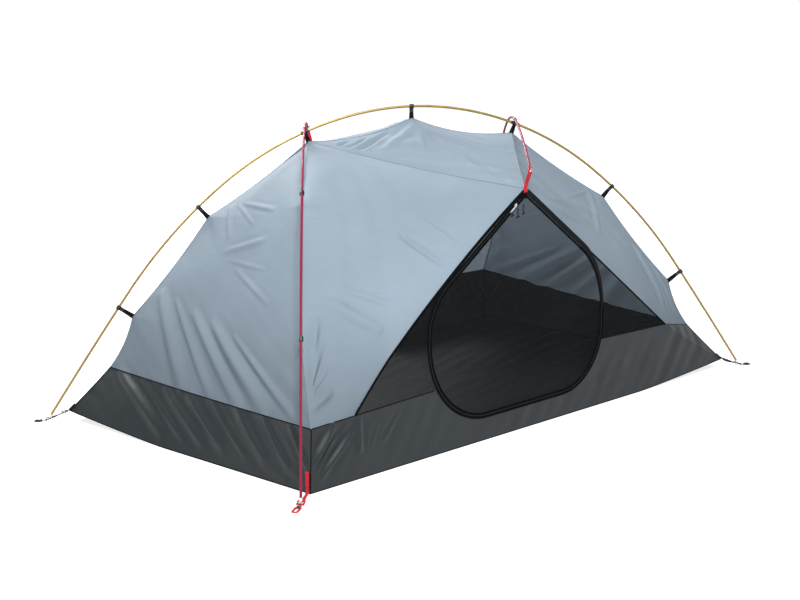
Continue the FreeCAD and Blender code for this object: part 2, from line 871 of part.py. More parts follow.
def corner_set(corner, pole_foot, tangent, loop_length):
    """Strap, grommet, adjuster, ring and stake loop between a floor corner and a pole tip."""
    nipple_middle = size("tip_shoulder") + size("tip_nipple_length") * 0.45
    eye = pole_foot - tangent * nipple_middle
    grommet = Part.makeCylinder(size("grommet_od") / 2, size("grommet_thick"),
                                eye - tangent * size("grommet_thick") / 2, tangent)
    hole = Part.makeCylinder(size("grommet_hole") / 2, 20, eye - tangent * 10, tangent)
    outward = Vector(eye.x - corner.x, eye.y - corner.y, 0).normalize()
    side = UP.cross(outward)
    start = corner + outward * 3 + UP * 3.2
    end = eye - outward * (size("grommet_od") / 2 + 1.5) + UP * 2
    along = Vector(end - start)
    reach = along.Length
    along.normalize()
    strap = oriented_box(reach, size("strap_width"), size("strap_thick"),
                         start - side * size("strap_width") / 2, along, side)
    top = along.cross(side)
    frame = oriented_box(size("adjuster_length"), size("adjuster_width"),
                         size("adjuster_thick"),
                         start + along * (reach * 0.35) + top * (size("strap_thick") + 0.3)
                         - side * size("adjuster_width") / 2, along, side)
    slots = [oriented_box(4, size("strap_width"), 20,
                          start + along * (reach * 0.35 + share) - top * 5
                          - side * size("strap_width") / 2, along, side)
             for share in (4, size("adjuster_length") - 8)]
    adjuster = frame.cut(slots[0]).cut(slots[1])
    ring_centre = Vector(eye.x, eye.y, 0) + outward * 17
    ring = Part.makeTorus(size("hook_ring_od") / 2 - size("hook_ring_wire") / 2,
                          size("hook_ring_wire") / 2,
                          ring_centre + UP * (size("hook_ring_wire") / 2 + 0.3), UP)
    loop_start = ring_centre + outward * (size("hook_ring_od") / 2 + 1) + UP * 0.3
    loop = stadium(loop_length, size("loop_width"))
    loop = loop.cut(stadium(loop_length - 2 * size("loop_band"),
                            size("loop_width") - 2 * size("loop_band"),
                            size("loop_band")))
    loop.Placement = Placement(loop_start, Rotation(outward, side, UP, "XYZ"))
    return strap, grommet.cut(hole), adjuster, ring, loop


def stadium(length, width, start=0.0):
    """Flat bar with round ends, lying along local X."""
    radius = width / 2
    thick = size("loop_thick")
    bar = block((start + radius, -radius, 0), (start + length - radius, radius, thick))
    ends = [Part.makeCylinder(radius, thick, Vector(start + radius, 0, 0), UP),
            Part.makeCylinder(radius, thick, Vector(start + length - radius, 0, 0), UP)]
    return bar.multiFuse(ends).removeSplitter()


# ---------------------------------------------------------------- the tent

for name, placement in (("red_pole_left", HERE), ("red_pole_right", HALF_TURN)):
    add_pole_sections(red, name, placement)
add_pole_sections(gold, "gold_pole")


def turned_solid(solid):
    twin = solid.copy()
    twin.Placement = HALF_TURN * twin.Placement
    return twin


def add_group(label, solids, both_ends=True):
    """A node of identical pieces; those listed for one half of the tent repeat on the other."""
    pieces = list(solids)
    if both_ends:
        pieces += [turned_solid(solid) for solid in solids]
    add_shape(label, Part.makeCompound(pieces))


add_group("pole_ferrules", ferrules(gold) + ferrules(red)
          + [turned_solid(tube) for tube in ferrules(red)], both_ends=False)
add_group("gold_shock_cord", [shock_cord(gold)], both_ends=False)
add_group("red_shock_cords", [shock_cord(red)])
add_group("gold_pole_tips", tips_at(gold, (0,)))
add_group("red_pole_tips", tips_at(red, (0, 1)))

add_group("hub_sleeves", hub_sleeves(gold, red))
add_group("hub_pins", [hub_pin(gold)])


def hooks_on(pole, distances):
    placed = []
    for distance in distances:
        piece = hook()
        piece.Placement = pole.placement(distance)
        placed.append(piece)
    return placed


gold_hooks = hooks_on(gold, (hook_low, hook_high, gold.length / 2,
                             gold.length - hook_high, gold.length - hook_low))
add_group("gold_pole_hooks", gold_hooks, both_ends=False)
add_group("red_pole_hooks", hooks_on(red, (red_hook_low, red_hook_high)))

tape_end = 1.5
tapes = [tape_below(gold, hook_low, hook_reach() + 0.2, size("hook_drop_low") - tape_end),
         tape_below(gold, hook_high, hook_reach() + 0.2, size("hook_drop_high") - tape_end),
         tape_below(gold, hub_low, size("sleeve_od") / 2 + 0.3, size("hub_drop") - tape_end),
         tape_below(red, red_hook_low, hook_reach() + 0.2, size("hook_drop_low") - tape_end),
         tape_below(red, red_hook_high, hook_reach() + 0.2, size("hook_drop_high") - tape_end)]
crown_tape = tape_below(gold, gold.length / 2, hook_reach() + 0.2,
                        size("crown_drop") - tape_end)
add_group("hook_tapes", tapes + [turned_solid(tape) for tape in tapes] + [crown_tape],
          both_ends=False)

# the brow end of the red pole that comes from the back right corner is over the front door
brow_tip, brow_tangent, brow_inward = red.frame(red.length)
nipple_end = brow_tip + brow_tangent * (size("tip_shoulder") + size("tip_nipple_length") * 0.4)
strap_foot = turned(apex) + UP * 3
strap_run = Vector(nipple_end - strap_foot)
strap_side = Vector(1, 0, 0)
brow_strap = Part.makeBox(strap_run.Length - 5, size("strap_width"), size("strap_thick"))
brow_along = Vector(strap_run).normalize()
brow_strap.Placement = Placement(
    strap_foot - strap_side * size("strap_width") / 2,
    Rotation(brow_along, strap_side, brow_along.cross(strap_side), "XYZ"))
brow_grommet = Part.makeCylinder(size("grommet_od") / 2, size("grommet_thick"),
                                 nipple_end - brow_tangent * size("grommet_thick") / 2,
                                 brow_tangent)
brow_grommet = brow_grommet.cut(Part.makeCylinder(
    size("grommet_hole") / 2, 20, nipple_end - brow_tangent * 10, brow_tangent))
brow_strap = brow_strap.cut(Part.makeCylinder(
    size("grommet_od") / 2 + 0.3, 40, nipple_end - brow_tangent * 20, brow_tangent))
brow_strap = max(brow_strap.Solids, key=lambda solid: solid.Volume)
add_group("brow_straps", [brow_strap])

# corners: gold at the back left and front right, red at the front left and back right
# taut straps pull at the tub's gold corners a little above the ground
corner_lift = size("gold_corner_lift")
lift_share = corner_lift / size("tub_gold_height")
lifted_corner = Vector(-half_length + size("tub_gold_inset_length") * lift_share,
                       half_width - size("tub_gold_inset_width") * lift_share, corner_lift)
gold_corner = corner_set(lifted_corner, gold.frame(0)[0], gold.frame(0)[1],
                         size("gold_loop_length"))
red_corner = corner_set(Vector(-half_length, front, 0), red.frame(0)[0], red.frame(0)[1],
                        size("red_loop_length"))
add_group("black_corner_straps", [gold_corner[0]])
add_group("red_corner_straps", [red_corner[0]])
add_group("grommets", [gold_corner[1], red_corner[1], brow_grommet])
add_group("strap_adjusters", [gold_corner[2]])
for label, solids, placement in (("back_left_stake_loop", gold_corner[3:], HERE),
                                 ("front_right_stake_loop", gold_corner[3:], HALF_TURN),
                                 ("front_left_stake_loop", red_corner[3:], HERE),
                                 ("back_right_stake_loop", red_corner[3:], HALF_TURN)):
    add_shape(label, Part.makeCompound(list(solids)), placement)

# floor, bathtub walls and fabric
floor = add_body("floor")
inset = "<<Sizes>>.seam_gap * 2"
floor_sketch = polygon_sketch(floor, "XY_Plane", "floor_outline", [
    (f"{sign_x} * (<<Sizes>>.floor_length / 2 - {inset})",
     f"{sign_y} * (<<Sizes>>.floor_width / 2 - {inset})")
    for sign_x, sign_y in ((-1, -1), (1, -1), (1, 1), (-1, 1))])
floor_pad = floor.newObject("PartDesign::Pad", "floor_sheet")
floor_pad.Profile = floor_sketch
floor_pad.setExpression("Length", cell("fabric_thick"))

SIDES = (("front", "left", HERE), ("back", "right", HALF_TURN))
for front_back, left_right, placement in SIDES:
    add_shape(f"{left_right}_tub_wall", tub_end_wall(), placement)
    add_shape(f"{front_back}_tub_wall", front_tub_wall(), placement)
    add_shape(f"{left_right}_end_wall", panel_between(gold_edge_left, red_seam, 0, 0.975),
              placement)
    add_shape(f"{front_back}_side_panel",
              panel_between(red_seam, mesh_edge_left_curve, 0, 0.985), placement)
    add_shape(f"{front_back}_roof_panel", roof_panel(), placement)
    add_shape(f"{front_back}_corner_panel", panel_between(gold_edge_right, mesh_edge_right),
              placement)
    add_mesh(f"{front_back}_mesh", placement)
    add_door(f"{front_back}_door", placement)
    add_shape(f"{front_back}_zip_door_half",
              zip_chain(-size("zip_split"), -size("zip_split") - size("zip_chain")), placement)
    add_shape(f"{front_back}_slider", slider(), placement * slider_frame())
    add_shape(f"{front_back}_puller", puller(), placement * slider_frame())
add_group("zip_wall_halves", [zip_chain(size("zip_split"), size("zip_split") + size("zip_chain"))])
add_group("door_tapes", [door_tape()])
add_group("door_ties", door_ties())

doc.recompute()

# ---------------------------------------------------------------- checks and files

for item in doc.Objects:
    faults = [state for state in item.State if state in ("Invalid", "Error")]
    if faults:
        raise RuntimeError(f"{item.Label} is {faults}")
for item in subparts:
    if item.Shape.isNull() or not item.Shape.isValid():
        raise RuntimeError(f"{item.Label} has no valid shape")

os.makedirs("parts", exist_ok=True)
for item in subparts:
    item.Shape.exportStep(f"parts/{item.Label}.step")

print(f"{len(subparts)} nodes, gold pole {gold.length:.0f} mm, red pole {red.length:.0f} mm")
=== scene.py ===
"""Dome tent: fabric, webbing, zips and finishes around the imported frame."""
import math

import bpy
import numpy as np
from mathutils.geometry import delaunay_2d_cdt
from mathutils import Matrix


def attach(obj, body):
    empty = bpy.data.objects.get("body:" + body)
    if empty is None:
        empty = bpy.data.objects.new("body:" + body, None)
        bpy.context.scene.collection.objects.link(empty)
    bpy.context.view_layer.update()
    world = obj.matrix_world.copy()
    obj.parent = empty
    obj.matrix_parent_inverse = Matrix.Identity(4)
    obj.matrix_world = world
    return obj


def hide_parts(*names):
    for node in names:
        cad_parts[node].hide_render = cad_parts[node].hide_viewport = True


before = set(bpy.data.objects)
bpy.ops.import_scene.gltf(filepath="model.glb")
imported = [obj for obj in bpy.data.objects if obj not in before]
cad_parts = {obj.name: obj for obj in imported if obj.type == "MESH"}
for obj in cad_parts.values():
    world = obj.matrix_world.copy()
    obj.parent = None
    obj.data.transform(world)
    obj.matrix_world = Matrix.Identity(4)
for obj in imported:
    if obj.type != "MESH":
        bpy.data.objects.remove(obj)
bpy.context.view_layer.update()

# ---------------------------------------------------------------- camera

scene = bpy.context.scene
camera_data = bpy.data.cameras.new("camera")
camera_data.lens = 90
camera_data.sensor_width = 36
camera = bpy.data.objects.new("camera", camera_data)
scene.collection.objects.link(camera)
CAMERA_TILT, CAMERA_HEADING = -0.2204, -0.8054
camera.location = (-5.0703, -4.8159, 1.9052)
camera.rotation_euler = (math.pi / 2 + CAMERA_TILT, 0, CAMERA_HEADING)
scene.camera = camera

# ---------------------------------------------------------------- poles, as in the frame

UP = np.array((0.0, 0.0, 1.0))
OUT = np.array((0.0, -1.0, 0.0))
HALF_LENGTH, HALF_WIDTH = 1.075, 0.600
FRONT = -HALF_WIDTH
FOOT_HEIGHT = 0.021
GOLD_PEAK = 1.035
GOLD_FOOT_OUT = 0.062
GOLD_LENGTH_LIMITS = (0.5, 1.3)
HUB_SHARE = 0.385
HUB_STACK = 0.014
HUB_DROP, CROWN_DROP = 0.035, 0.040
HOOK_LOW_SHARE, HOOK_HIGH_SHARE = 0.1258, 0.2535
RED_HOOK_LOW_SHARE, RED_HOOK_HIGH_SHARE = 0.222, 0.477
HOOK_DROP_LOW, HOOK_DROP_HIGH = 0.058, 0.050
GOLD_FLATNESS, GOLD_SECTIONS = 1.27, 7
RED_FLATNESS, RED_SECTIONS = 1.0, 4
RED_FOOT_OUT_X, RED_FOOT_OUT_Y = 0.088, 0.051
RED_LENGTH = 2.218
RED_TIP_SLOPE = math.radians(-15)
RED_LENGTH_LIMITS = (0.9, 1.4)


def point(*coordinates):
    return np.array(coordinates, float)


def unit(vector):
    vector = np.asarray(vector, float)
    return vector / np.maximum(np.linalg.norm(vector, axis=-1, keepdims=True), 1e-12)


def solve(gap, low, high):
    """Where the rising function gap crosses zero."""
    for _ in range(50):
        middle = (low + high) / 2
        if gap(middle) < 0:
            low = middle
        else:
            high = middle
    return (low + high) / 2


class Pole:
    """A pole bent in an upright plane: tangent arcs of equal length."""

    def __init__(self, foot, heading, slope, end_slope, length, flatness, count):
        def turned(place):
            return 0.5 + (place - flatness * place ** 3 / 3) / (1 - flatness / 3) / 2
        shares = np.diff([turned(-1 + 2 * index / count) for index in range(count + 1)])
        self.foot, self.heading, self.length = foot, heading, length
        self.arcs = []
        total = slope - end_slope
        reach = height = start = 0.0
        for share in shares:
            turn = total * share
            radius = length / count / turn
            self.arcs.append((start, reach, height, slope, radius))
            reach += radius * (math.sin(slope) - math.sin(slope - turn))
            height += radius * (math.cos(slope - turn) - math.cos(slope))
            slope -= turn
            start += length / count
        self.reach = reach

    def flat(self, distance):
        start, reach, height, slope, radius = max(
            (arc for arc in self.arcs if arc[0] <= distance), default=self.arcs[0])
        turn = (distance - start) / radius
        reach += radius * (math.sin(slope) - math.sin(slope - turn))
        height += radius * (math.cos(slope - turn) - math.cos(slope))
        return reach, height, slope - turn

    def frame(self, distance):
        """Point, tangent and the direction towards the fabric."""
        reach, height, slope = self.flat(distance)
        place = self.foot + self.heading * reach + UP * height
        tangent = self.heading * math.cos(slope) + UP * math.sin(slope)
        inward = self.heading * math.sin(slope) - UP * math.cos(slope)
        return place, tangent, inward

    def under(self, distance, drop):
        place, _, inward = self.frame(distance)
        return place + inward * drop


def make_gold():
    heading = unit((HALF_LENGTH, -HALF_WIDTH, 0))
    half_span = math.hypot(HALF_LENGTH, HALF_WIDTH) + GOLD_FOOT_OUT
    rise = (GOLD_PEAK - FOOT_HEIGHT) / (2 * half_span)

    def shaped(slope, length=1.0):
        return Pole(-heading * half_span + UP * FOOT_HEIGHT, heading, slope, -slope,
                    length, GOLD_FLATNESS, GOLD_SECTIONS)

    def too_high(slope):
        pole = shaped(slope)
        return pole.flat(0.5)[1] / pole.reach - rise

    slope = solve(too_high, *GOLD_LENGTH_LIMITS)
    return shaped(slope, 2 * half_span / shaped(slope).reach)


def make_red(gold):
    hub = gold.frame(gold.length * HUB_SHARE)[0]
    foot = point(-HALF_LENGTH - RED_FOOT_OUT_X, -HALF_WIDTH - RED_FOOT_OUT_Y, FOOT_HEIGHT)
    flat = (hub - foot) * (1, 1, 0)
    distance = np.linalg.norm(flat)
    rise = hub[2] + HUB_STACK - foot[2]

    def shaped(slope):
        return Pole(foot, unit(flat), slope, RED_TIP_SLOPE, RED_LENGTH, RED_FLATNESS,
                    RED_SECTIONS)

    def too_high(slope):
        pole = shaped(slope)
        along = solve(lambda place: pole.flat(place)[0] - distance, 0, pole.length)
        return pole.flat(along)[1] - rise

    return shaped(solve(too_high, *RED_LENGTH_LIMITS))


def turned(points):
    """The same points after half a turn of the tent."""
    return np.asarray(points) * (-1, -1, 1)


gold = make_gold()
red = make_red(gold)
low, high = gold.length * HOOK_LOW_SHARE, gold.length * HOOK_HIGH_SHARE
hub = gold.length * HUB_SHARE
red_low, red_high = red.length * RED_HOOK_LOW_SHARE, red.length * RED_HOOK_HIGH_SHARE

hub_left = gold.under(hub, HUB_DROP)
hub_right = gold.under(gold.length - hub, HUB_DROP)
crown = gold.under(gold.length / 2, CROWN_DROP)
gold_tips = [gold.under(low, HOOK_DROP_LOW), gold.under(high, HOOK_DROP_HIGH)]
red_tips = [red.under(red_low, HOOK_DROP_LOW), red.under(red_high, HOOK_DROP_HIGH)]
TUB_GOLD_INSET, LEAN_ROUND = 0.071, 0.02
tub_gold = point(HALF_LENGTH - 0.127, FRONT + TUB_GOLD_INSET, 0.173)
tub_red = point(-HALF_LENGTH + 0.006, FRONT, 0.204)
tub_crest = point(0.341, FRONT, 0.238)
tub_bend = point(0.710, FRONT, 0.227)
apex = point(-0.088, FRONT, 0.824)
mesh_left = tub_red + (tub_crest - tub_red) * ((-0.887 - tub_red[0]) / (tub_crest[0] - tub_red[0]))
DOOR_TOP_X, DOOR_TOP = -0.086, 0.807
DOOR_LEFT, DOOR_LEFT_SHOULDER = -0.548, 0.496
DOOR_RIGHT, DOOR_RIGHT_SHOULDER = 0.333, 0.497
DOOR_BOTTOM = 0.087
DOOR_RADII = (0.200, 0.285, 0.210, 0.290)
RING_STEP = 0.006
door_top = point(DOOR_TOP_X, FRONT, DOOR_TOP)
HINGE = 0.370

# ---------------------------------------------------------------- materials


METAL_WEAR = 0.48


class Finish:
    """A material built node by node."""

    def __init__(self, name):
        self.material = bpy.data.materials.new(name)
        self.material.use_nodes = True
        self.tree = self.material.node_tree
        self.tree.nodes.clear()
        self.place = self.add("ShaderNodeTexCoord").outputs["Object"]
        self.cloth = self.add("ShaderNodeAttribute", attribute_name="cloth").outputs["Vector"]

    def add(self, kind, inputs=None, **settings):
        node = self.tree.nodes.new(kind)
        for key, value in settings.items():
            setattr(node, key, value)
        for key, value in (inputs or {}).items():
            if isinstance(value, bpy.types.NodeSocket):
                self.tree.links.new(value, node.inputs[key])
            else:
                node.inputs[key].default_value = value
        return node

    def noise(self, scale, detail=2.0, rough=0.5, place=None):
        inputs = {"Vector": place or self.place, "Scale": scale, "Detail": detail,
                  "Roughness": rough}
        return self.add("ShaderNodeTexNoise", inputs).outputs["Fac"]

    def math(self, operation, one, other=0.0):
        return self.add("ShaderNodeMath", {0: one, 1: other}, operation=operation).outputs[0]

    def remap(self, value, low, high, to_low, to_high):
        return self.add("ShaderNodeMapRange", {0: value, 1: low, 2: high, 3: to_low,
                                               4: to_high}).outputs[0]

    def bands(self, direction, period):
        """Parallel lines of a period in metres, 0 to 1."""
        return self.add("ShaderNodeTexWave", {"Vector": self.cloth,
                                              "Scale": 2 * math.pi / 20 / period},
                        bands_direction=direction, wave_profile="SIN").outputs["Fac"]

    def mix(self, factor, one, other):
        node = self.add("ShaderNodeMix", data_type="RGBA")
        for index, value in ((0, factor), (6, one), (7, other)):
            if isinstance(value, bpy.types.NodeSocket):
                self.tree.links.new(value, node.inputs[index])
            else:
                node.inputs[index].default_value = value
        return node.outputs[2]

    def bump(self, height, distance, strength=1.0, normal=None):
        inputs = {"Height": height, "Distance": distance, "Strength": strength}
        if normal is not None:
            inputs["Normal"] = normal
        return self.add("ShaderNodeBump", inputs).outputs["Normal"]

    def done(self, shader):
        self.add("ShaderNodeOutputMaterial", {"Surface": shader})
        return self.material


def shade(colour, factor):
    return tuple(min(1.0, part * factor) for part in colour[:3]) + (1.0,)


def linear(*values):
    """Linear colour of an sRGB triple from 0 to 255."""
    parts = [value / 255 for value in values]
    return tuple(part / 12.92 if part <= 0.04045 else ((part + 0.055) / 1.055) ** 2.4
                 for part in parts) + (1.0,)


def nylon(name, colour, through, crinkle, roughness=0.5, shine=0.3, painted_shade_depth=0.0):
    """Thin woven nylon: fine weave, soft crinkles, and painted shade that darkens the colour
    towards the ground.
    """
    finish = Finish(name)
    tone = finish.remap(finish.noise(3.1, 3), 0.3, 0.7, 0.0, 1.0)
    height = finish.add("ShaderNodeSeparateXYZ", {"Vector": finish.place}).outputs["Z"]
    # painted shade: the colour darkens from z 0.54 down to z 0.18, with faint random blotches of
    # tone on top
    painted_shade_and_tone = finish.math("ADD", finish.remap(height, 0.18, 0.54, painted_shade_depth, 0.0),
                        finish.remap(finish.noise(5.0, 3), 0.3, 0.7, -0.05, 0.05))
    streak = finish.add("ShaderNodeMapping", {"Vector": finish.cloth, "Scale": (9, 160, 9)})
    threads = finish.remap(finish.noise(1.0, 2, place=streak.outputs[0]), 0.35, 0.65, 0.0, 0.35)
    shown = finish.mix(threads, finish.mix(tone, shade(colour, 0.93), shade(colour, 1.05)),
                       shade(colour, 0.90))
    # the painted shade pulls the colour towards a darker copy of itself
    shown = finish.mix(painted_shade_and_tone, shown, shade(colour, 0.45))
    weave = finish.math("ADD", finish.bands("X", 0.0016), finish.bands("Y", 0.0016))
    fine = finish.bump(weave, 0.00012, 0.35)
    soft = finish.bump(finish.noise(26, 3, 0.55), crinkle, 0.6, fine)
    broad = finish.bump(finish.noise(7, 2, 0.5), crinkle * 5, 0.5, soft)
    surface = finish.add("ShaderNodeBsdfPrincipled", {
        "Base Color": shown, "Roughness": roughness, "Normal": broad,
        "Sheen Weight": shine * 0.3, "Sheen Roughness": 0.4, "Specular IOR Level": shine})
    glow = finish.add("ShaderNodeBsdfTranslucent", {"Color": shown, "Normal": broad})
    both = finish.add("ShaderNodeMixShader", {"Fac": through, 1: surface.outputs[0],
                                              2: glow.outputs[0]})
    return finish.done(both.outputs[0])


def netting(name, colour, open_share):
    """No-see-um mesh: fine black knit that half lets the view through."""
    finish = Finish(name)
    knit = finish.math("MULTIPLY", finish.bands("X", 0.0022), finish.bands("Y", 0.0022))
    cloudy = finish.remap(finish.noise(5, 3), 0.3, 0.7, -0.04, 0.04)
    cover = finish.remap(knit, 0.0, 1.0, 1.1 - open_share, 0.6 - open_share / 2)
    cover = finish.math("ADD", cover, cloudy)
    surface = finish.add("ShaderNodeBsdfPrincipled", {
        "Base Color": finish.mix(finish.noise(8, 2), shade(colour, 0.85), shade(colour, 1.15)),
        "Roughness": 0.75, "Alpha": cover, "Specular IOR Level": 0.2,
        "Normal": finish.bump(finish.noise(22, 2), 0.0012, 0.5)})
    return finish.done(surface.outputs[0])


def webbing(name, colour, rib=0.0022, stitch=None, shine=0.2):
    """Woven tape: ribs across it, herringbone tone, rows of stitches near the edges."""
    finish = Finish(name)
    ribs = finish.bands("X", rib)
    warp = finish.bands("Y", rib * 0.8)
    cross = finish.math("MULTIPLY", ribs, warp)
    tone = finish.remap(finish.noise(40, 2), 0.3, 0.7, 0.0, 1.0)
    shown = finish.mix(tone, shade(colour, 0.82), shade(colour, 1.12))
    shown = finish.mix(finish.remap(cross, 0, 1, 0.35, 0.0), shown, shade(colour, 0.55))
    if stitch:
        dash = finish.math("GREATER_THAN", finish.bands("X", 0.0042), 0.35)
        row = finish.add("ShaderNodeAttribute", attribute_name="edge").outputs["Fac"]
        off = finish.math("ABSOLUTE", finish.math("SUBTRACT", row, 0.72))
        line = finish.math("LESS_THAN", off, 0.07)
        shown = finish.mix(finish.math("MULTIPLY", dash, line), shown, stitch)
    surface = finish.add("ShaderNodeBsdfPrincipled", {
        "Base Color": shown, "Roughness": 0.78, "Sheen Weight": shine * 0.2,
        "Specular IOR Level": shine, "Normal": finish.bump(cross, 0.0003, 0.8)})
    return finish.done(surface.outputs[0])


def anodised(name, colour, roughness=0.3, metallic=1.0, shine=0.5):
    """Drawn tube or turned metal: faint lengthwise lines, dulled and paler in places."""
    finish = Finish(name)
    cloud = finish.remap(finish.noise(30, 3), 0.35, 0.65, 0.0, 1.0)
    scratch = finish.noise(900, 2, 0.7)
    shown = finish.mix(finish.math("MULTIPLY", cloud, METAL_WEAR), colour, shade(colour, 1.25))
    surface = finish.add("ShaderNodeBsdfPrincipled", {
        "Base Color": shown, "Metallic": metallic, "Specular IOR Level": shine,
        "Roughness": finish.remap(cloud, 0, 1, roughness * 0.85, roughness * 1.25),
        "Normal": finish.bump(scratch, 0.00004, 0.3)})
    return finish.done(surface.outputs[0])


def moulded(name, colour, roughness=0.45):
    """Injection-moulded plastic with a fine spark-eroded texture."""
    finish = Finish(name)
    shown = finish.mix(finish.noise(60, 2), shade(colour, 0.85), shade(colour, 1.2))
    surface = finish.add("ShaderNodeBsdfPrincipled", {
        "Base Color": shown, "Roughness": finish.remap(finish.noise(300, 2), 0.3, 0.7,
                                                       roughness * 0.8, roughness * 1.2),
        "Normal": finish.bump(finish.noise(1500, 2), 0.00006, 0.4)})
    return finish.done(surface.outputs[0])


GREY = linear(137, 151, 163)
CHARCOAL = linear(37, 42, 45)
# the last argument sets how dark the painted shade gets towards the ground
grey_nylon = nylon("grey_nylon", GREY, 0.30, 0.0012, 0.72, 0.08, 0.62)
tub_nylon = nylon("charcoal_nylon", CHARCOAL, 0.03, 0.0014, 0.45, 0.17)
floor_nylon = nylon("floor_nylon", linear(21, 24, 27), 0.0, 0.0014, 0.6, 0.06)
netting_black = netting("black_netting", linear(17, 19, 21), 0.70)
black_tape = webbing("black_webbing", linear(12, 13, 15), stitch=linear(34, 36, 39), shine=0.08)
binding_tape = webbing("black_binding", linear(7, 8, 10), 0.0012, shine=0.03)
zip_tape = webbing("zip_tape", linear(8, 9, 11), 0.0012, shine=0.02)
red_tape = webbing("red_webbing", linear(184, 25, 43), stitch=linear(130, 16, 26))
grey_seam = webbing("grey_seam", linear(118, 131, 144), 0.0012)
gold_metal = anodised("gold_anodised", linear(152, 127, 66), 0.46, 0.7)
red_metal = anodised("red_anodised", linear(112, 20, 48), 0.62, 0.0, shine=0.2)
bare_metal = anodised("bare_aluminium", linear(196, 198, 202), 0.3)
steel = anodised("steel_wire", linear(140, 142, 146), 0.35)
zip_silver = anodised("zip_slider_metal", linear(205, 205, 205), 0.35)
black_plastic = moulded("black_plastic", linear(22, 23, 25))
pale_plastic = moulded("pole_tip_plastic", linear(214, 212, 204), 0.4)
coil_plastic = moulded("zip_coil", linear(8, 9, 11), 0.85)
cord_fibre = webbing("shock_cord", linear(230, 228, 220), 0.0012)
tie_fibre = webbing("tie_cord", linear(30, 31, 34), 0.0014)

# ---------------------------------------------------------------- mesh building


def part_of(vertices, faces, cloth=None, edge=None):
    vertices = np.asarray(vertices, float).reshape(-1, 3)
    count = len(vertices)
    return {"vertices": vertices, "faces": [tuple(int(i) for i in face) for face in faces],
            "cloth": np.zeros((count, 3)) if cloth is None else np.asarray(cloth, float),
            "edge": np.zeros(count) if edge is None else np.asarray(edge, float)}


def turned_part(part):
    return dict(part, vertices=turned(part["vertices"]))


def both(parts):
    """The parts and their twins after half a turn of the tent."""
    return parts + [turned_part(part) for part in parts]


def piece(name, parts, material, body, nodes=()):
    """One object from several parts, riding on a body."""
    if isinstance(parts, dict):
        parts = [parts]
    faces, offset = [], 0
    for part in parts:
        faces += [tuple(index + offset for index in face) for face in part["faces"]]
        offset += len(part["vertices"])
    mesh = bpy.data.meshes.new(name)
    mesh.from_pydata(np.concatenate([part["vertices"] for part in parts]).tolist(), [], faces)
    mesh.polygons.foreach_set("use_smooth", [True] * len(mesh.polygons))
    cloth = mesh.attributes.new("cloth", "FLOAT_VECTOR", "POINT")
    cloth.data.foreach_set("vector", np.concatenate([part["cloth"] for part in parts])
                           .astype(np.float32).ravel())
    edge = mesh.attributes.new("edge", "FLOAT", "POINT")
    edge.data.foreach_set("value", np.concatenate([part["edge"] for part in parts])
                          .astype(np.float32))
    mesh.materials.append(material)
    mesh.update()
    made = bpy.data.objects.new(name, mesh)
    scene.collection.objects.link(made)
    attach(made, body)
    if nodes:
        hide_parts(*nodes)
    return made


def runs(points):
    """Length along a row of points."""
    steps = np.linalg.norm(np.diff(points, axis=0), axis=1)
    return np.concatenate([[0], np.cumsum(steps)])


def grid_part(grid):
    """Quads over a grid of points, facing away from the middle of the tent."""
    rows, columns = grid.shape[:2]
    index = np.arange(rows * columns).reshape(rows, columns)
    faces = np.stack([index[:-1, :-1], index[1:, :-1], index[1:, 1:], index[:-1, 1:]],
                     -1).reshape(-1, 4)
    flat = grid.reshape(-1, 3)
    corners = flat[faces]
    normals = np.cross(corners[:, 2] - corners[:, 0], corners[:, 3] - corners[:, 1])
    if ((corners.mean(1) - (0, 0, 0.3)) * normals).sum() < 0:
        faces = faces[:, ::-1]
    kept = [[i for n, i in enumerate(face) if np.linalg.norm(flat[i] - flat[face[n - 1]]) > 1e-6]
            for face in faces]
    along = np.concatenate([np.zeros((rows, 1)), np.cumsum(np.linalg.norm(
        np.diff(grid, axis=1), axis=2), 1)], 1)
    up = np.concatenate([np.zeros((1, columns)), np.cumsum(np.linalg.norm(
        np.diff(grid, axis=0), axis=2), 0)], 0)
    cloth = np.stack([along, up, np.zeros_like(up)], -1).reshape(-1, 3)
    return part_of(flat, [face for face in kept if len(face) > 2], cloth)


PROFILE = ((-0.5, 0.0), (-0.47, 0.38), (-0.42, 0.5), (-0.15, 0.5), (0.15, 0.5), (0.42, 0.5),
           (0.47, 0.38), (0.5, 0.0), (0.47, -0.38), (0.42, -0.5), (0, -0.5), (-0.42, -0.5),
           (-0.47, -0.38))


def tangents(path, closed):
    steps = np.roll(path, -1, 0) - np.roll(path, 1, 0) if closed else np.gradient(path, axis=0)
    return unit(steps)


def skin(count, sides, closed):
    """Faces around rings of points, with the two ends closed on an open path."""
    index = np.arange(count * sides).reshape(count, sides)
    following = np.roll(index, -1, 0) if closed else index[1:]
    before = index if closed else index[:-1]
    faces = np.stack([before, np.roll(before, -1, 1), np.roll(following, -1, 1), following],
                     -1).reshape(-1, 4).tolist()
    return faces if closed else faces + [index[0][::-1].tolist(), index[-1].tolist()]


def band_part(path, across, width, thick, closed=False):
    """Flat webbing along a path; across is its width direction, width may vary."""
    path = np.asarray(path, float)
    count = len(path)
    tangent = tangents(path, closed)
    across = np.broadcast_to(np.asarray(across, float), path.shape)
    across = unit(across - tangent * (across * tangent).sum(1, keepdims=True))
    normal = np.cross(tangent, across)
    width = np.broadcast_to(np.asarray(width, float), (count,))[:, None, None]
    shape = np.array(PROFILE)
    vertices = (path[:, None] + across[:, None] * shape[None, :, :1] * width
                + normal[:, None] * shape[None, :, 1:] * thick)
    sides = len(shape)
    along = np.broadcast_to(runs(path)[:, None], (count, sides))
    aside = np.broadcast_to(shape[None, :, 0] * width[:, 0], (count, sides))
    cloth = np.stack([along, aside, np.zeros((count, sides))], -1).reshape(-1, 3)
    edge = np.broadcast_to(np.abs(shape[:, 0]) * 2, (count, sides)).ravel()
    return part_of(vertices, skin(count, sides, closed), cloth, edge)


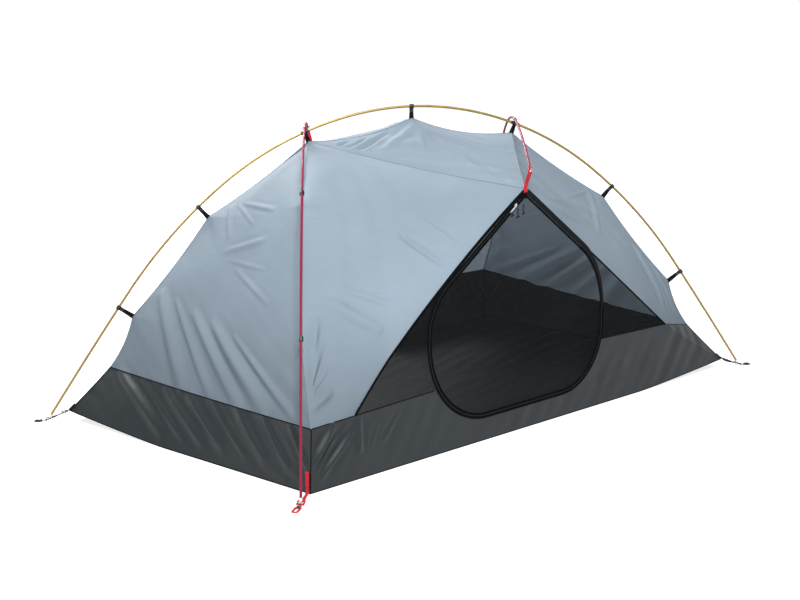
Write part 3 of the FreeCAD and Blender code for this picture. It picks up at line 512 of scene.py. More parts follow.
def tube_part(path, radius, sides=10, closed=False):
    """Round bar along a path."""
    path = np.asarray(path, float)
    tangent = tangents(path, closed)
    seed = point(0.13, 0.21, 0.97) if abs(tangent[0][2]) < 0.9 else point(0.9, 0.3, 0.1)
    across = unit(seed - tangent * (tangent @ seed)[:, None])
    normal = np.cross(tangent, across)
    angles = np.linspace(0, 2 * math.pi, sides, endpoint=False)
    radius = np.broadcast_to(np.asarray(radius, float), (len(path),))[:, None, None]
    vertices = path[:, None] + radius * (across[:, None] * np.cos(angles)[None, :, None]
                                         + normal[:, None] * np.sin(angles)[None, :, None])
    along = np.repeat(runs(path), sides)
    cloth = np.stack([along, np.tile(angles, len(path)) * 0.002, along * 0], -1)
    return part_of(vertices, skin(len(path), sides, closed), cloth)


def smooth_path(knots, count=24):
    """Catmull-Rom curve through the knots."""
    knots = np.asarray(knots, float)
    padded = np.concatenate([[2 * knots[0] - knots[1]], knots, [2 * knots[-1] - knots[-2]]])
    found = []
    for place in np.linspace(0, len(knots) - 1, count):
        segment = min(int(place), len(knots) - 2)
        t = place - segment
        a, b, c, d = padded[segment:segment + 4]
        found.append(0.5 * (2 * b + (c - a) * t + (2 * a - 5 * b + 4 * c - d) * t ** 2
                            + (3 * b - a - 3 * c + d) * t ** 3))
    return np.array(found)


# ---------------------------------------------------------------- creases and folds

RIPPLE_WAVES = 7


def crease(points, start, end, height, width, flare=0.0):
    """A soft fold between two points: how far it lifts the cloth at each point."""
    start, end = point(*start), point(*end)
    axis = end - start
    along = np.clip(((points - start) @ axis) / (axis @ axis), 0, 1)
    off = np.linalg.norm(points - start - along[..., None] * axis, axis=-1)
    width = width * (1 - flare + flare * along)
    ratio = (off / width) ** 2
    return height * np.sin(math.pi * along) ** 0.6 * (1 - 1.2 * ratio) * np.exp(-ratio)


def ripples(points, seed, along, normal, length, width, height):
    """Shallow random folds that run mostly along one direction."""
    random = np.random.default_rng(seed)
    along = unit(along)
    aside = unit(np.cross(normal, along))
    a, b = points @ along / length, points @ aside / width
    total = 0.0
    for _ in range(RIPPLE_WAVES):
        pace, lean, phase, sway = random.uniform((0.6, -0.45, 0, 0), (1.7, 0.45, 6.28, 6.28))
        total = total + np.sin(6.28 * (b * pace + a * lean) + phase
                               + 0.8 * np.sin(6.28 * a * 0.7 + sway)) / math.sqrt(RIPPLE_WAVES)
    patch = 0.55 + 0.45 * np.sin(2.1 * a + 0.9 * b * width / length + random.uniform(0, 6.28))
    return height * total * patch


def fade(points, rows, reach):
    """0 on the given rows of points and 1 further off than reach."""
    nearest = np.full(points.shape[:-1], 1e9)
    for row in rows:
        row = np.asarray(row)[::3]
        for start in range(0, len(row), 8):
            gap = np.linalg.norm(points[..., None, :] - row[start:start + 8], axis=-1).min(-1)
            nearest = np.minimum(nearest, gap)
    share = np.clip(nearest / reach, 0, 1)
    return share * share * (3 - 2 * share)


# ---------------------------------------------------------------- edges of the panels


def edge_through(knots, count, sags=None, inward=None):
    """Equal steps along the curve through the knots, and how far the edge hangs in from it."""
    knots = np.array(knots)
    at = runs(knots) / runs(knots)[-1]
    powers = len(knots) - 1
    fits = [np.polyfit(at, knots[:, axis], powers) for axis in range(3)]
    fine = np.linspace(0, 1, 400)
    curve = np.stack([np.polyval(fit, fine) for fit in fits], 1)
    place = np.interp(np.linspace(0, runs(curve)[-1], count), runs(curve), fine)
    smooth = np.stack([np.polyval(fit, place) for fit in fits], 1)
    smooth[0], smooth[-1] = knots[0], knots[-1]
    if sags is None:
        return smooth, np.zeros_like(smooth)
    segment = np.clip(np.searchsorted(at, place, side="right") - 1, 0, powers - 1)
    share = ((place - at[segment]) / (at[segment + 1] - at[segment]))[:, None]
    hang = (np.array(sags)[segment][:, None] * np.array(inward)[segment]
            * 4 * share * (1 - share))
    hung = knots[segment] * (1 - share) + knots[segment + 1] * share + hang
    hung[0], hung[-1] = knots[0], knots[-1]
    return smooth, hung - smooth


def bow(start, end, count, push=(0, 0, 0)):
    share = np.linspace(0, 1, count)[:, None]
    return start * (1 - share) + end * share + 4 * share * (1 - share) * point(*push)


def coons(left, right, bottom, top):
    """Surface between four edges: left and right run up, bottom and top run across."""
    u = np.linspace(0, 1, len(left))[:, None, None]
    v = np.linspace(0, 1, len(bottom))[None, :, None]
    return ((1 - v) * left[:, None] + v * right[:, None] + (1 - u) * bottom[None] + u * top[None]
            - ((1 - u) * (1 - v) * left[0] + (1 - u) * v * right[0]
               + u * (1 - v) * left[-1] + u * v * right[-1]))


def hang(grid, edge, offset, reach):
    """Carries an edge's scallops into the panel, where they die away."""
    gap = np.linalg.norm(grid - edge, axis=-1)[..., None]
    return grid + offset * np.exp(-gap / reach)


ROWS, COLUMNS = 200, 200

gold_inward = [gold.frame(low * 0.55)[2], gold.frame((low + high) / 2)[2],
               gold.frame((high + hub) / 2)[2]]
gold_edge, gold_hang = edge_through([turned(tub_gold)] + gold_tips + [hub_left], ROWS,
                                    (0.011, 0.009, 0.009), gold_inward)
red_inward = [red.frame(red_low * 0.6)[2], red.frame((red_low + red_high) / 2)[2],
              red.frame(red_high + 0.2)[2]]
red_edge, red_hang = edge_through([tub_red] + red_tips + [hub_left], ROWS,
                                  (0.006, 0.006, 0.006), red_inward)
crown_inward = [gold.frame((hub + gold.length / 2) / 2)[2],
                gold.frame((gold.length * 1.5 - hub) / 2)[2]]
crown_edge, crown_hang = edge_through([hub_left, crown, hub_right], COLUMNS, (0.024, 0.024),
                                      crown_inward)
chord = apex - mesh_left
chord_normal = unit((-chord[2], 0, chord[0]))
belly_share = np.clip((np.linspace(0, 1, ROWS) - 0.2) / 0.8, 0, 1)
mesh_edge = bow(mesh_left, apex, ROWS, chord_normal * 0.044)
mesh_edge = mesh_edge - chord_normal * 0.011 * np.sin(math.pi * belly_share)[:, None]
brow_left = bow(hub_left, apex, ROWS, (0, 0.004, -0.012))
brow_right = bow(hub_right, apex, ROWS, (0, 0.003, -0.006))
edge_right = bow(tub_bend, apex, ROWS, (0, 0, 0))
brow_left_across = bow(hub_left, apex, COLUMNS, (0, 0.004, -0.012))
END_OUT = unit((-1, 0, 0.45))
FRONT_OUT = unit((0, -1, 0.25))
ROOF_OUT = unit((0, -0.25, 1))
END_EDGES = [gold_edge, red_edge, bow(turned(tub_gold), point(-HALF_LENGTH, HALF_WIDTH, 0), 30),
             bow(tub_red, point(-HALF_LENGTH, FRONT, 0), 30)]
FRONT_EDGES = [red_edge, mesh_edge, brow_left, bow(mesh_left, tub_crest, 150),
               bow(tub_crest, tub_bend, 40), bow(tub_bend, tub_gold, 40),
               bow(tub_gold, point(HALF_LENGTH, FRONT, 0), 30),
               bow(tub_red, point(-HALF_LENGTH, FRONT, 0), 30)]
CORNER_LIFT = 0.028
SHEET_MIDDLE = 0.0006


def lifted(points):
    """The floor's corners under the gold pole are pulled up by their straps."""
    points = np.array(points)
    for sign in (-1, 1):
        corner = point(sign * HALF_LENGTH, -sign * HALF_WIDTH, 0)
        gap = np.linalg.norm((points - corner)[..., :2], axis=-1)
        rise = np.clip(1 - gap / 0.50, 0, 1) ** 1.25 * np.clip(1 - points[..., 2] / 0.17, 0, 1)
        points[..., 2] += CORNER_LIFT * rise
    return points


def folded(points, folds):
    return sum(crease(points, *fold) for fold in folds)


def spot(grid, across, up):
    """The point of a panel at a share of its width and a share of its height."""
    row, column = up * (len(grid) - 1), across * (grid.shape[1] - 1)
    r, c = min(int(row), len(grid) - 2), min(int(column), grid.shape[1] - 2)
    a, b = row - r, column - c
    low = (1 - b) * grid[r, c] + b * grid[r, c + 1]
    high = (1 - b) * grid[r + 1, c] + b * grid[r + 1, c + 1]
    return (1 - a) * low + a * high


def fan(grid, starts, ends, count, height, width, flare=0.0):
    """Folds side by side: the first and the last start and end, as shares across and up."""
    uneven = 1 + 0.35 * np.cos(2.4 * np.arange(count))
    return [(spot(grid, *start), spot(grid, *end), height * share, width * share, flare)
            for start, end, share in zip(np.linspace(*starts, count), np.linspace(*ends, count),
                                         uneven)]


def end_base():
    bottom = bow(turned(tub_gold), tub_red, COLUMNS, (0, 0, -0.004))
    top = np.repeat(hub_left[None], COLUMNS, 0)
    grid = coons(gold_edge, red_edge, bottom, top)
    belly = np.sin(math.pi * np.linspace(0, 1, ROWS))[:, None] * np.sin(
        math.pi * np.linspace(0, 1, COLUMNS))[None]
    grid = grid - END_OUT * 0.012 * belly[..., None]
    grid = hang(grid, gold_edge[:, None], gold_hang[:, None], 0.13)
    return hang(grid, red_edge[:, None], red_hang[:, None], 0.05)


def side_base():
    bottom = bow(tub_red, mesh_left, COLUMNS)
    grid = coons(red_edge, mesh_edge, bottom, brow_left_across)
    return hang(grid, red_edge[:, None], red_hang[:, None], 0.05)


def roof_base():
    u = np.linspace(0, 1, ROWS)[:, None, None]
    v = np.linspace(0, 1, COLUMNS)[None, :, None]
    grid = ((1 - u) * crown_edge[None] + u * apex
            + (1 - v) * (brow_left - bow(hub_left, apex, ROWS))[:, None]
            + v * (brow_right - bow(hub_right, apex, ROWS))[:, None])
    return hang(grid, crown_edge[None], crown_hang[None], 0.16)


def corner_base():
    gold_right, gold_right_hang = turned(gold_edge), turned(gold_hang)
    bottom = bow(tub_bend, tub_gold, COLUMNS)
    top = bow(apex, hub_right, COLUMNS, (0, 0.003, -0.006))
    grid = coons(edge_right, gold_right, bottom, top)
    return hang(grid, gold_right[:, None], gold_right_hang[:, None], 0.13)


def tub_end_base():
    rows = max(24, ROWS // 3)
    high = bow(turned(tub_gold), tub_red, COLUMNS, (0, 0, -0.004))
    low_edge = bow(point(-HALF_LENGTH, HALF_WIDTH, 0.0012), point(-HALF_LENGTH, FRONT, 0.0012),
                   COLUMNS)
    left, right = (bow(low_edge[end], high[end], rows) for end in (0, -1))
    return coons(left, right, low_edge, high)


tub_front_base = np.stack([bow(point(-HALF_LENGTH, FRONT, 0), point(HALF_LENGTH, FRONT, 0), 40),
                           bow(tub_red, tub_gold, 40)])

def fans(grid, *rows):
    return [fold for row in rows for fold in fan(grid, *row)]


# rows: first and last start, first and last end (shares of the panel across and up), how many
# folds, height, half width, flare; from the lowest gold hook to the seam, by the upper hook, in
# the middle, and in the bathtub
END_FOLDS = fans(end_base(),
                 (((0.05, 0.3), (0.6, 0.2)), ((0.4, 0), (0.95, 0)), 5, 0.015, 0.032, 0.4),
                 (((0.1, 0.65), (0.25, 0.65)), ((0.35, 0.5), (0.7, 0.6)), 3, 0.0050, 0.012),
                 (((0.35, 0.45), (0.5, 0.4)), ((0.7, 0.5), (0.8, 0.3)), 3, 0.0040, 0.012))
END_FOLDS += fans(tub_end_base(),
                  (((0.05, 1), (0.9, 1)), ((0.4, 0.2), (1, 0.3)), 8, 0.011, 0.020))

# out of the red corner, across the panel, at the netting
FRONT_FOLDS = fans(side_base(),
                   (((0, 0.05), (0, 0.1)), ((0.4, 0.1), (0.15, 0.3)), 4, 0.011, 0.018),
                   (((0.2, 0.35), (0.3, 0.4)), ((0.8, 0.3), (0.8, 0.4)), 2, 0.011, 0.022),
                   (((0.6, 0.65), (0.7, 0.75)), ((0.95, 0.6), (0.95, 0.7)), 2, -0.011, 0.014))
# in the bathtub: by the red corner, left of the door, right of it, at the right end
FRONT_FOLDS += fans(tub_front_base,
                    (((0, 0.4), (0.02, 0.2)), ((0.05, 1), (0.1, 0.9)), 3, 0.012, 0.015),
                    (((0.1, 0.4), (0.15, 0.5)), ((0.1, 1), (0.2, 1)), 3, 0.009, 0.013),
                    (((0.65, 0.4), (0.65, 0.3)), ((0.7, 1), (0.75, 0.5)), 2, 0.011, 0.015),
                    (((0.75, 0.9), (0.85, 0.9)), ((0.8, 0.5), (0.95, 0.2)), 3, 0.010, 0.018))

# from the crown's middle, from its left half, towards the apex
ROOF_FOLDS = fans(roof_base(),
                  (((0.5, 0.05), (0.5, 0.05)), ((0.15, 0.25), (0.45, 0.5)), 3, 0.0055, 0.018),
                  (((0.35, 0.05), (0.15, 0.05)), ((0.05, 0.2), (0.05, 0.1)), 3, -0.0070, 0.012),
                  (((0.5, 0.5), (0.5, 0.5)), ((0.45, 0.9), (0.45, 0.9)), 1, -0.0060, 0.014))

# down from the roof, from the upper hook, down from the lowest hook
CORNER_FOLDS = fans(corner_base(),
                    (((0.1, 0.9), (0.3, 0.85)), ((0.4, 0.6), (0.6, 0.6)), 2, 0.012, 0.023),
                    (((0.95, 0.65), (0.95, 0.65)), ((0.4, 0.55), (0.5, 0.75)), 2, 0.0085, 0.015),
                    (((0.9, 0.4), (0.95, 0.3)), ((0.5, 0.1), (0.8, 0.05)), 3, 0.010, 0.018))


def end_swell(points):
    """Folds that run on from the end wall into the bathtub, nothing at the poles' edges."""
    swell = folded(points, END_FOLDS) + ripples(points, 11, (0.15, -0.75, -0.5), END_OUT,
                                                0.9, 0.085, 0.0030)
    return END_OUT * (swell * fade(points, END_EDGES, 0.03))[..., None]


def front_swell(points):
    """Folds of the long wall, nothing at the netting and at the poles' edges."""
    swell = folded(points, FRONT_FOLDS) + ripples(points, 13, (0.5, 0.25, 0.8), FRONT_OUT,
                                                  0.8, 0.11, 0.0026)
    return FRONT_OUT * (swell * fade(points, FRONT_EDGES, 0.025))[..., None]


def end_wall():
    grid = end_base()
    return grid + end_swell(grid), grid


def side_panel():
    grid = side_base()
    return grid + front_swell(grid), grid


def roof_panel():
    grid = roof_base()
    lift = ripples(grid, 17, (0.3, -0.6, -0.3), ROOF_OUT, 0.5, 0.10, 0.0015)
    lift += folded(grid, ROOF_FOLDS)
    calm = fade(grid, [grid[0], grid[:, 0], grid[:, -1]], 0.035)
    return grid + ROOF_OUT * (lift * calm)[..., None], grid


def corner_panel():
    grid = corner_base()
    lift = ripples(grid, 19, (0.75, -0.1, -0.6), FRONT_OUT, 0.8, 0.09, 0.0028)
    lift += folded(grid, CORNER_FOLDS)
    calm = fade(grid, [grid[:, -1], grid[-1], grid[:, 0], grid[0]], 0.035)
    return grid + FRONT_OUT * (lift * calm)[..., None], grid


def tub_end():
    grid = tub_end_base()
    moved = grid + end_swell(grid) * fade(grid, [grid[0]], 0.04)[..., None]
    return lifted(moved), lifted(grid)


def floor_sheet():
    x = np.linspace(-HALF_LENGTH, HALF_LENGTH, 120)
    y = np.linspace(-HALF_WIDTH - SHEET_MIDDLE, HALF_WIDTH + SHEET_MIDDLE, 80)
    grid = np.stack(np.meshgrid(x, y, indexing="xy"), -1)
    grid = np.concatenate([grid, np.full(grid.shape[:2] + (1,), 0.0012)], -1)
    swell = ripples(grid, 5, (1, 0.3, 0), UP, 0.7, 0.16, 0.0035)
    grid[..., 2] += np.abs(swell) * fade(grid, [grid[0], grid[-1], grid[:, 0], grid[:, -1]], 0.03)
    return lifted(grid)


def add_sheet(name, grid, material, nodes):
    made = piece(name, grid_part(grid), material, "tent", nodes)
    return made


for maker, name, material, slot in (
        (end_wall, "end_wall", grey_nylon, "grey_nylon"),
        (side_panel, "side_panel", grey_nylon, "grey_nylon"),
        (roof_panel, "roof_panel", grey_nylon, "grey_nylon"),
        (corner_panel, "corner_panel", grey_nylon, "grey_nylon"),
        (tub_end, "tub_wall", tub_nylon, "charcoal_nylon")):
    ends = ("left", "right") if maker in (end_wall, tub_end) else ("front", "back")
    for turn, side in enumerate(ends):
        grid, flat = maker()
        if turn:
            grid, flat = turned(grid), turned(flat)
        add_sheet(f"{side}_{name}_fabric", grid, material, [f"{side}_{name}"])
floor_grid = floor_sheet()
add_sheet("floor_fabric", floor_grid, floor_nylon, ["floor"])

# ---------------------------------------------------------------- door wall


def door_ring():
    """The zip line in (x, z), from the door's top down its left side and round, with its
    outward direction and the length run at each point."""
    corners = [point(DOOR_TOP_X, DOOR_TOP), point(DOOR_LEFT, DOOR_LEFT_SHOULDER),
               point(DOOR_LEFT, DOOR_BOTTOM), point(DOOR_RIGHT, DOOR_BOTTOM),
               point(DOOR_RIGHT, DOOR_RIGHT_SHOULDER)]
    radii = (0.0,) + DOOR_RADII
    places, outs = [], []
    for index, corner in enumerate(corners):
        before = unit(corners[index - 1] - corner)
        after = unit(corners[(index + 1) % 5] - corner)
        half = math.acos(float(before @ after)) / 2
        cut = radii[index] / math.tan(half)
        middle = corner + unit(before + after) * radii[index] / math.sin(half)
        if radii[index]:
            start = corner + before * cut - middle
            sweep = math.pi - 2 * half
            turns = max(8, int(radii[index] * sweep / RING_STEP))
            for share in np.linspace(0, 1, turns, endpoint=False):
                angle = sweep * share
                spoke = point(start[0] * math.cos(angle) - start[1] * math.sin(angle),
                              start[0] * math.sin(angle) + start[1] * math.cos(angle))
                places.append(middle + spoke)
                outs.append(unit(spoke))
        begin = corner + after * cut
        following = corners[(index + 1) % 5]
        ahead = unit(corners[(index + 2) % 5] - following)
        next_half = math.acos(float(-after @ ahead)) / 2
        next_cut = radii[(index + 1) % 5] / math.tan(next_half)
        end = following - after * next_cut
        count = max(2, int(np.linalg.norm(end - begin) / RING_STEP))
        for share in np.linspace(0, 1, count, endpoint=False):
            places.append(begin + (end - begin) * share)
            outs.append(point(after[1], -after[0]))
    places.append(corners[0])
    outs.append(outs[-1])
    return np.array(places), np.array(outs)


ring, ring_out = door_ring()
ring_run = runs(ring)
RING_LENGTH = ring_run[-1]
DOOR_MIDDLE = point(-0.10, 0.42)
if ((ring - DOOR_MIDDLE) * ring_out).sum() < 0:
    ring_out = -ring_out


def ring_places(at, offset):
    """Points of the door wall at runs along the zip line, moved out by an offset."""
    flat = np.stack([np.interp(at, ring_run, ring[:, axis]) for axis in (0, 1)], 1)
    out = unit(np.stack([np.interp(at, ring_run, ring_out[:, axis]) for axis in (0, 1)], 1))
    moved = flat + out * np.broadcast_to(np.asarray(offset, float), (len(at),))[:, None]
    wall = np.stack([moved[:, 0], np.full(len(at), FRONT), moved[:, 1]], 1)
    return wall, np.stack([out[:, 0], np.zeros(len(at)), out[:, 1]], 1)


def on_ring(start, end, offset, step=RING_STEP):
    return ring_places(np.linspace(start, end, max(2, int((end - start) / step))), offset)


def inside(points, polygon):
    x, y = points[:, 0:1], points[:, 1:2]
    x0, y0 = polygon.T
    x1, y1 = np.roll(polygon, -1, 0).T
    rise = np.where(np.abs(y1 - y0) < 1e-12, 1e-12, y1 - y0)
    crosses = ((y0 > y) != (y1 > y)) & (x < x0 + (y - y0) * (x1 - x0) / rise)
    return crosses.sum(1) % 2 == 1


def resampled(polygon, step):
    closed = np.concatenate([polygon, polygon[:1]])
    places = []
    for start, end in zip(closed, closed[1:]):
        count = max(1, int(round(np.linalg.norm(end - start) / step)))
        places += [start + (end - start) * share for share in np.linspace(0, 1, count,
                                                                          endpoint=False)]
    return np.array(places)


def cut_net(outline, step, hole=None):
    """Triangles that fill an outline in (x, z); a doorway may cut into it."""
    def kept(places):
        found = inside(places, outline)
        return found if hole is None else found & ~inside(places, hole)

    low_corner, high_corner = outline.min(0), outline.max(0)
    lines = np.arange(low_corner[1], high_corner[1], step * NET_LINE_SHARE)
    grid = np.array([(x + (n % 2) * step / 2, z) for n, z in enumerate(lines)
                     for x in np.arange(low_corner[0], high_corner[0], step)])
    grid = grid[kept(grid)]
    every = [resampled(polygon, step) for polygon in (outline, hole) if polygon is not None]
    border = np.concatenate(every)
    near = np.array([np.min(np.linalg.norm(border - place, axis=1)) for place in grid])
    places = np.concatenate([border, grid[near > step * NET_CLEAR_SHARE]])
    edges, offset = [], 0
    for polygon in every:
        count = len(polygon)
        edges += [(offset + n, offset + (n + 1) % count) for n in range(count)]
        offset += count
    found = delaunay_2d_cdt([tuple(place) for place in places], edges, [], 0, 1e-7)
    vertices, triangles = np.array([tuple(place) for place in found[0]]), np.array(found[2])
    triangles = triangles[kept(vertices[triangles].mean(1))]
    used = np.unique(triangles)
    renumber = np.full(len(vertices), -1)
    renumber[used] = np.arange(len(used))
    return vertices[used], renumber[triangles]


def wall_part(vertices, triangles, shaped):
    """A net of the door wall, facing outwards, with its places given by a function."""
    one, two, three = (vertices[triangles[:, n]] for n in range(3))
    spin = ((two - one)[:, 0] * (three - one)[:, 1] - (two - one)[:, 1] * (three - one)[:, 0])
    triangles = np.where((spin < 0)[:, None], triangles[:, ::-1], triangles)
    cloth = np.concatenate([vertices, np.zeros((len(vertices), 1))], 1)
    return part_of(shaped(vertices), triangles, cloth), float(np.abs(spin).sum() / 2)


NET_STEP = 0.011
NET_LINE_SHARE, NET_CLEAR_SHARE = 0.87, 0.55
zip_gap = 0.003
hole_flat = on_ring(0, RING_LENGTH, zip_gap, 0.010)[0][:-1, [0, 2]]
door_flat = on_ring(0.012, RING_LENGTH - 0.012, -zip_gap, 0.010)[0][:, [0, 2]]
door_flat = np.concatenate([[(door_top[0], door_top[2] - zip_gap * 1.7)], door_flat])


def gentle(x, z, seed):
    """Slack of the netting: long shallow waves."""
    points = np.stack([x, np.full_like(x, FRONT), z], -1)
    return ripples(points, seed, (0.6, 0, 0.8), OUT, 0.7, 0.16, 0.0016)


def border_fade(x, z, polygon, reach):
    border = resampled(polygon, 0.02)
    near = np.array([np.min(np.hypot(border[:, 0] - a, border[:, 1] - b))
                     for a, b in zip(x, z)])
    share = np.clip(near / reach, 0, 1)
    return share * share * (3 - 2 * share)


def on_wall(vertices, lift=0.0):
    return np.stack([vertices[:, 0], np.full(len(vertices), FRONT - SHEET_MIDDLE) - lift,
                     vertices[:, 1]], 1)


mesh_outline = np.concatenate([mesh_edge[:-1][:, [0, 2]], [apex[[0, 2]]],
                               bow(apex, tub_bend, 30)[1:][:, [0, 2]],
                               bow(tub_bend, tub_crest, 16)[1:][:, [0, 2]],
                               bow(tub_crest, mesh_left, 40)[1:-1][:, [0, 2]]])
_, keep_order = np.unique(np.round(mesh_outline, 5), axis=0, return_index=True)
mesh_outline = mesh_outline[np.sort(keep_order)]


def mesh_net():
    vertices, triangles = cut_net(mesh_outline, NET_STEP, hole_flat)

    def shaped(flat):
        calm = border_fade(flat[:, 0], flat[:, 1], mesh_outline, 0.05)
        calm = calm * border_fade(flat[:, 0], flat[:, 1], hole_flat, 0.03)
        return on_wall(flat, gentle(flat[:, 0], flat[:, 1], 31) * calm)

    return wall_part(vertices, triangles, shaped)


tub_outline = np.concatenate([
    bow(point(-HALF_LENGTH, FRONT, 0.0), point(HALF_LENGTH, FRONT, 0.0), 90)[:, [0, 2]],
    bow(point(HALF_LENGTH, FRONT, 0.0), tub_gold, 14)[1:][:, [0, 2]],
    bow(tub_gold, tub_bend, 14)[1:][:, [0, 2]], bow(tub_bend, tub_crest, 20)[1:][:, [0, 2]],
    bow(tub_crest, tub_red, 70)[1:][:, [0, 2]],
    bow(tub_red, point(-HALF_LENGTH, FRONT, 0.0), 14)[1:-1][:, [0, 2]]])


def tub_front():
    vertices, triangles = cut_net(tub_outline, NET_STEP * 0.55, hole_flat)

    def shaped(flat):
        x, z = flat[:, 0], flat[:, 1]
        bend, foot, high_end = (np.array((p[0], p[2])) for p in (
            tub_bend, point(HALF_LENGTH, FRONT, 0), tub_gold))
        span = foot - bend
        across = np.abs((high_end - bend)[0] * span[1] - (high_end - bend)[1] * span[0])
        lean = ((x - bend[0]) * -span[1] + (z - bend[1]) * span[0]) / across
        lean = (np.sqrt(lean ** 2 + LEAN_ROUND ** 2) - LEAN_ROUND) * (lean > 0)
        places = on_wall(flat)
        places[:, 1] += lean * TUB_GOLD_INSET
        ground = fade(places, [bow(point(-HALF_LENGTH, FRONT, 0), point(HALF_LENGTH, FRONT, 0),
                                   200)], 0.03)
        doorway = border_fade(x, z, hole_flat, 0.02)
        places += front_swell(places) * (ground * doorway)[:, None]
        places[:, 2] += 0.0012 * (z < 0.001)
        return lifted(places)

    return wall_part(vertices, triangles, shaped)


def door_net():
    vertices, triangles = cut_net(door_flat, NET_STEP)

    def shaped(flat):
        calm = border_fade(flat[:, 0], flat[:, 1], door_flat, 0.05)
        return on_wall(flat, gentle(flat[:, 0], flat[:, 1], 37) * calm)

    return wall_part(vertices, triangles, shaped)


for turn, side in enumerate(("front", "back")):
    for maker, name, body, node, material, slot, flat in (
            (mesh_net, "mesh_netting", "tent", "mesh", netting_black, "black_mesh",
             (1.01, 0.36)),
            (tub_front, "tub_wall_fabric", "tent", "tub_wall", tub_nylon, "charcoal_nylon",
             (2.15, 0.238)),
            (door_net, "door_netting", f"{side}_door", "door", netting_black, "black_mesh",
             (0.881, 0.717))):
        part, area = maker()
        if turn:
            part = turned_part(part)
        made = piece(f"{side}_{name}", part, material, body, [f"{side}_{node}"])

# ---------------------------------------------------------------- zips and tapes

HINGE_END = RING_LENGTH - HINGE
TOOTH_STEP = 0.0024


def raised(path, height):
    return path + OUT * height


def teeth(start, end, offset, phase):
    """A row of coil teeth along the zip line."""
    at = np.arange(start + phase, end, TOOTH_STEP)
    place, side = ring_places(at, offset)
    along = np.cross(side, OUT)
    corners = np.array([(a, b, c) for a, b in ((-0.5, -0.5), (0.5, -0.5), (0.5, 0.5), (-0.5, 0.5))
                        for c in (-0.5, 0.5)])
    middle = place + OUT * 0.0008
    pinch = 1 - 0.35 * (corners[:, 2] > 0)
    vertices = (middle[:, None]
                + along[:, None] * (corners[:, 0] * pinch * 0.0016)[None, :, None]
                + side[:, None] * (corners[:, 1] * 0.0032)[None, :, None]
                + OUT * (corners[:, 2] * 0.0022)[None, :, None])
    base = np.arange(len(at))[:, None, None] * 8
    box_faces = np.array([(0, 1, 3, 2), (2, 3, 5, 4), (4, 5, 7, 6), (6, 7, 1, 0), (1, 7, 5, 3),
                          (0, 2, 4, 6)])
    return part_of(vertices, (base + box_faces[None]).reshape(-1, 4).tolist())


def zip_half(sign):
    """Tape and teeth of one side of the zip: sign 1 is the wall's, -1 the door's."""
    centre, side = on_ring(0.012, HINGE_END, sign * 0.0050)
    tape = band_part(raised(centre, 0.0016), side, 0.0080, 0.0006)
    centre, side = on_ring(0.012, HINGE_END, sign * 0.0085)
    edging = band_part(raised(centre, 0.0022), side, 0.0034, 0.0012)
    return tape, teeth(0.014, HINGE_END, sign * 0.0010, TOOTH_STEP / 2 * (sign > 0)), edging


for turn, side in enumerate(("front", "back")):
    tape, row, edging = [turned_part(part) if turn else part for part in zip_half(-1)]
    piece(f"{side}_door_zip_tape", tape, zip_tape, f"{side}_door",
          [f"{side}_zip_door_half"])
    piece(f"{side}_door_zip_teeth", row, coil_plastic, f"{side}_door", ())
    piece(f"{side}_door_zip_edging", edging, binding_tape, f"{side}_door", ())
tape, row, edging = zip_half(1)
piece("wall_zip_edgings", both([edging]), binding_tape, "tent", ())
piece("wall_zip_tapes", both([tape]), zip_tape, "tent", ["zip_wall_halves"])
piece("wall_zip_teeth", both([row]), coil_plastic, "tent", ())

# the wide black band down the right side of the doorway, narrowing where the zip takes over
band_end = HINGE_END - 0.27
centre, side = on_ring(band_end, RING_LENGTH - 0.004, 0.0)
width = 0.008 + 0.012 * np.clip(np.linspace(0, 1, len(centre)) / 0.35, 0, 1)
centre = centre + side * (width / 2 - 0.0015)[:, None]
door_band = band_part(raised(centre, 0.0026), side, width, 0.0008)
hem_centre, hem_side = on_ring(HINGE_END - 0.01, RING_LENGTH - 0.006, -0.0055)
hem = band_part(raised(hem_centre, 0.0014), hem_side, 0.008, 0.0008)
piece("door_bands", both([door_band]), black_tape, "tent", ["door_tapes"])
piece("front_door_hem", hem, binding_tape, "front_door", ())
piece("back_door_hem", turned_part(hem), binding_tape, "back_door", ())

# binding down the left edge of the netting and along the right one
chord_side = unit(np.cross(unit(np.gradient(mesh_edge, axis=0)), OUT))
climb_share = np.linspace(0, 1, ROWS)
# the binding widens as it climbs and narrows again under the apex
left_width = (0.009 + 0.0045 * np.clip((climb_share - 0.2) / 0.3, 0, 1)
              - 0.0035 * np.clip((climb_share - 0.88) / 0.08, 0, 1))
if chord_side[0] @ (apex - point(0.3, FRONT, 0.3)) > 0:
    chord_side = -chord_side
left_line = raised(mesh_edge, 0.0022) + chord_side * (left_width / 2 - 0.003)[:, None]
left_binding = band_part(left_line[1:-2], chord_side[1:-2], left_width[1:-2], 0.0012)
right_binding = band_part(raised(edge_right, 0.0022), (1, 0, 0), 0.006, 0.0012)
gusset = band_part(apex + np.linspace(0.012, 0.034, 6)[:, None] * point(-0.12, 0, -1)
                   + OUT * 0.0024, (1, 0, 0), np.linspace(0.014, 0.040, 6), 0.0009)
bindings = [left_binding, right_binding, gusset]
piece("netting_bindings", both(bindings), binding_tape,
      "tent", ())

# ---------------------------------------------------------------- seams

SEAM_RADIUS = 0.0016


def seam(path):
    return tube_part(path, SEAM_RADIUS, 8)


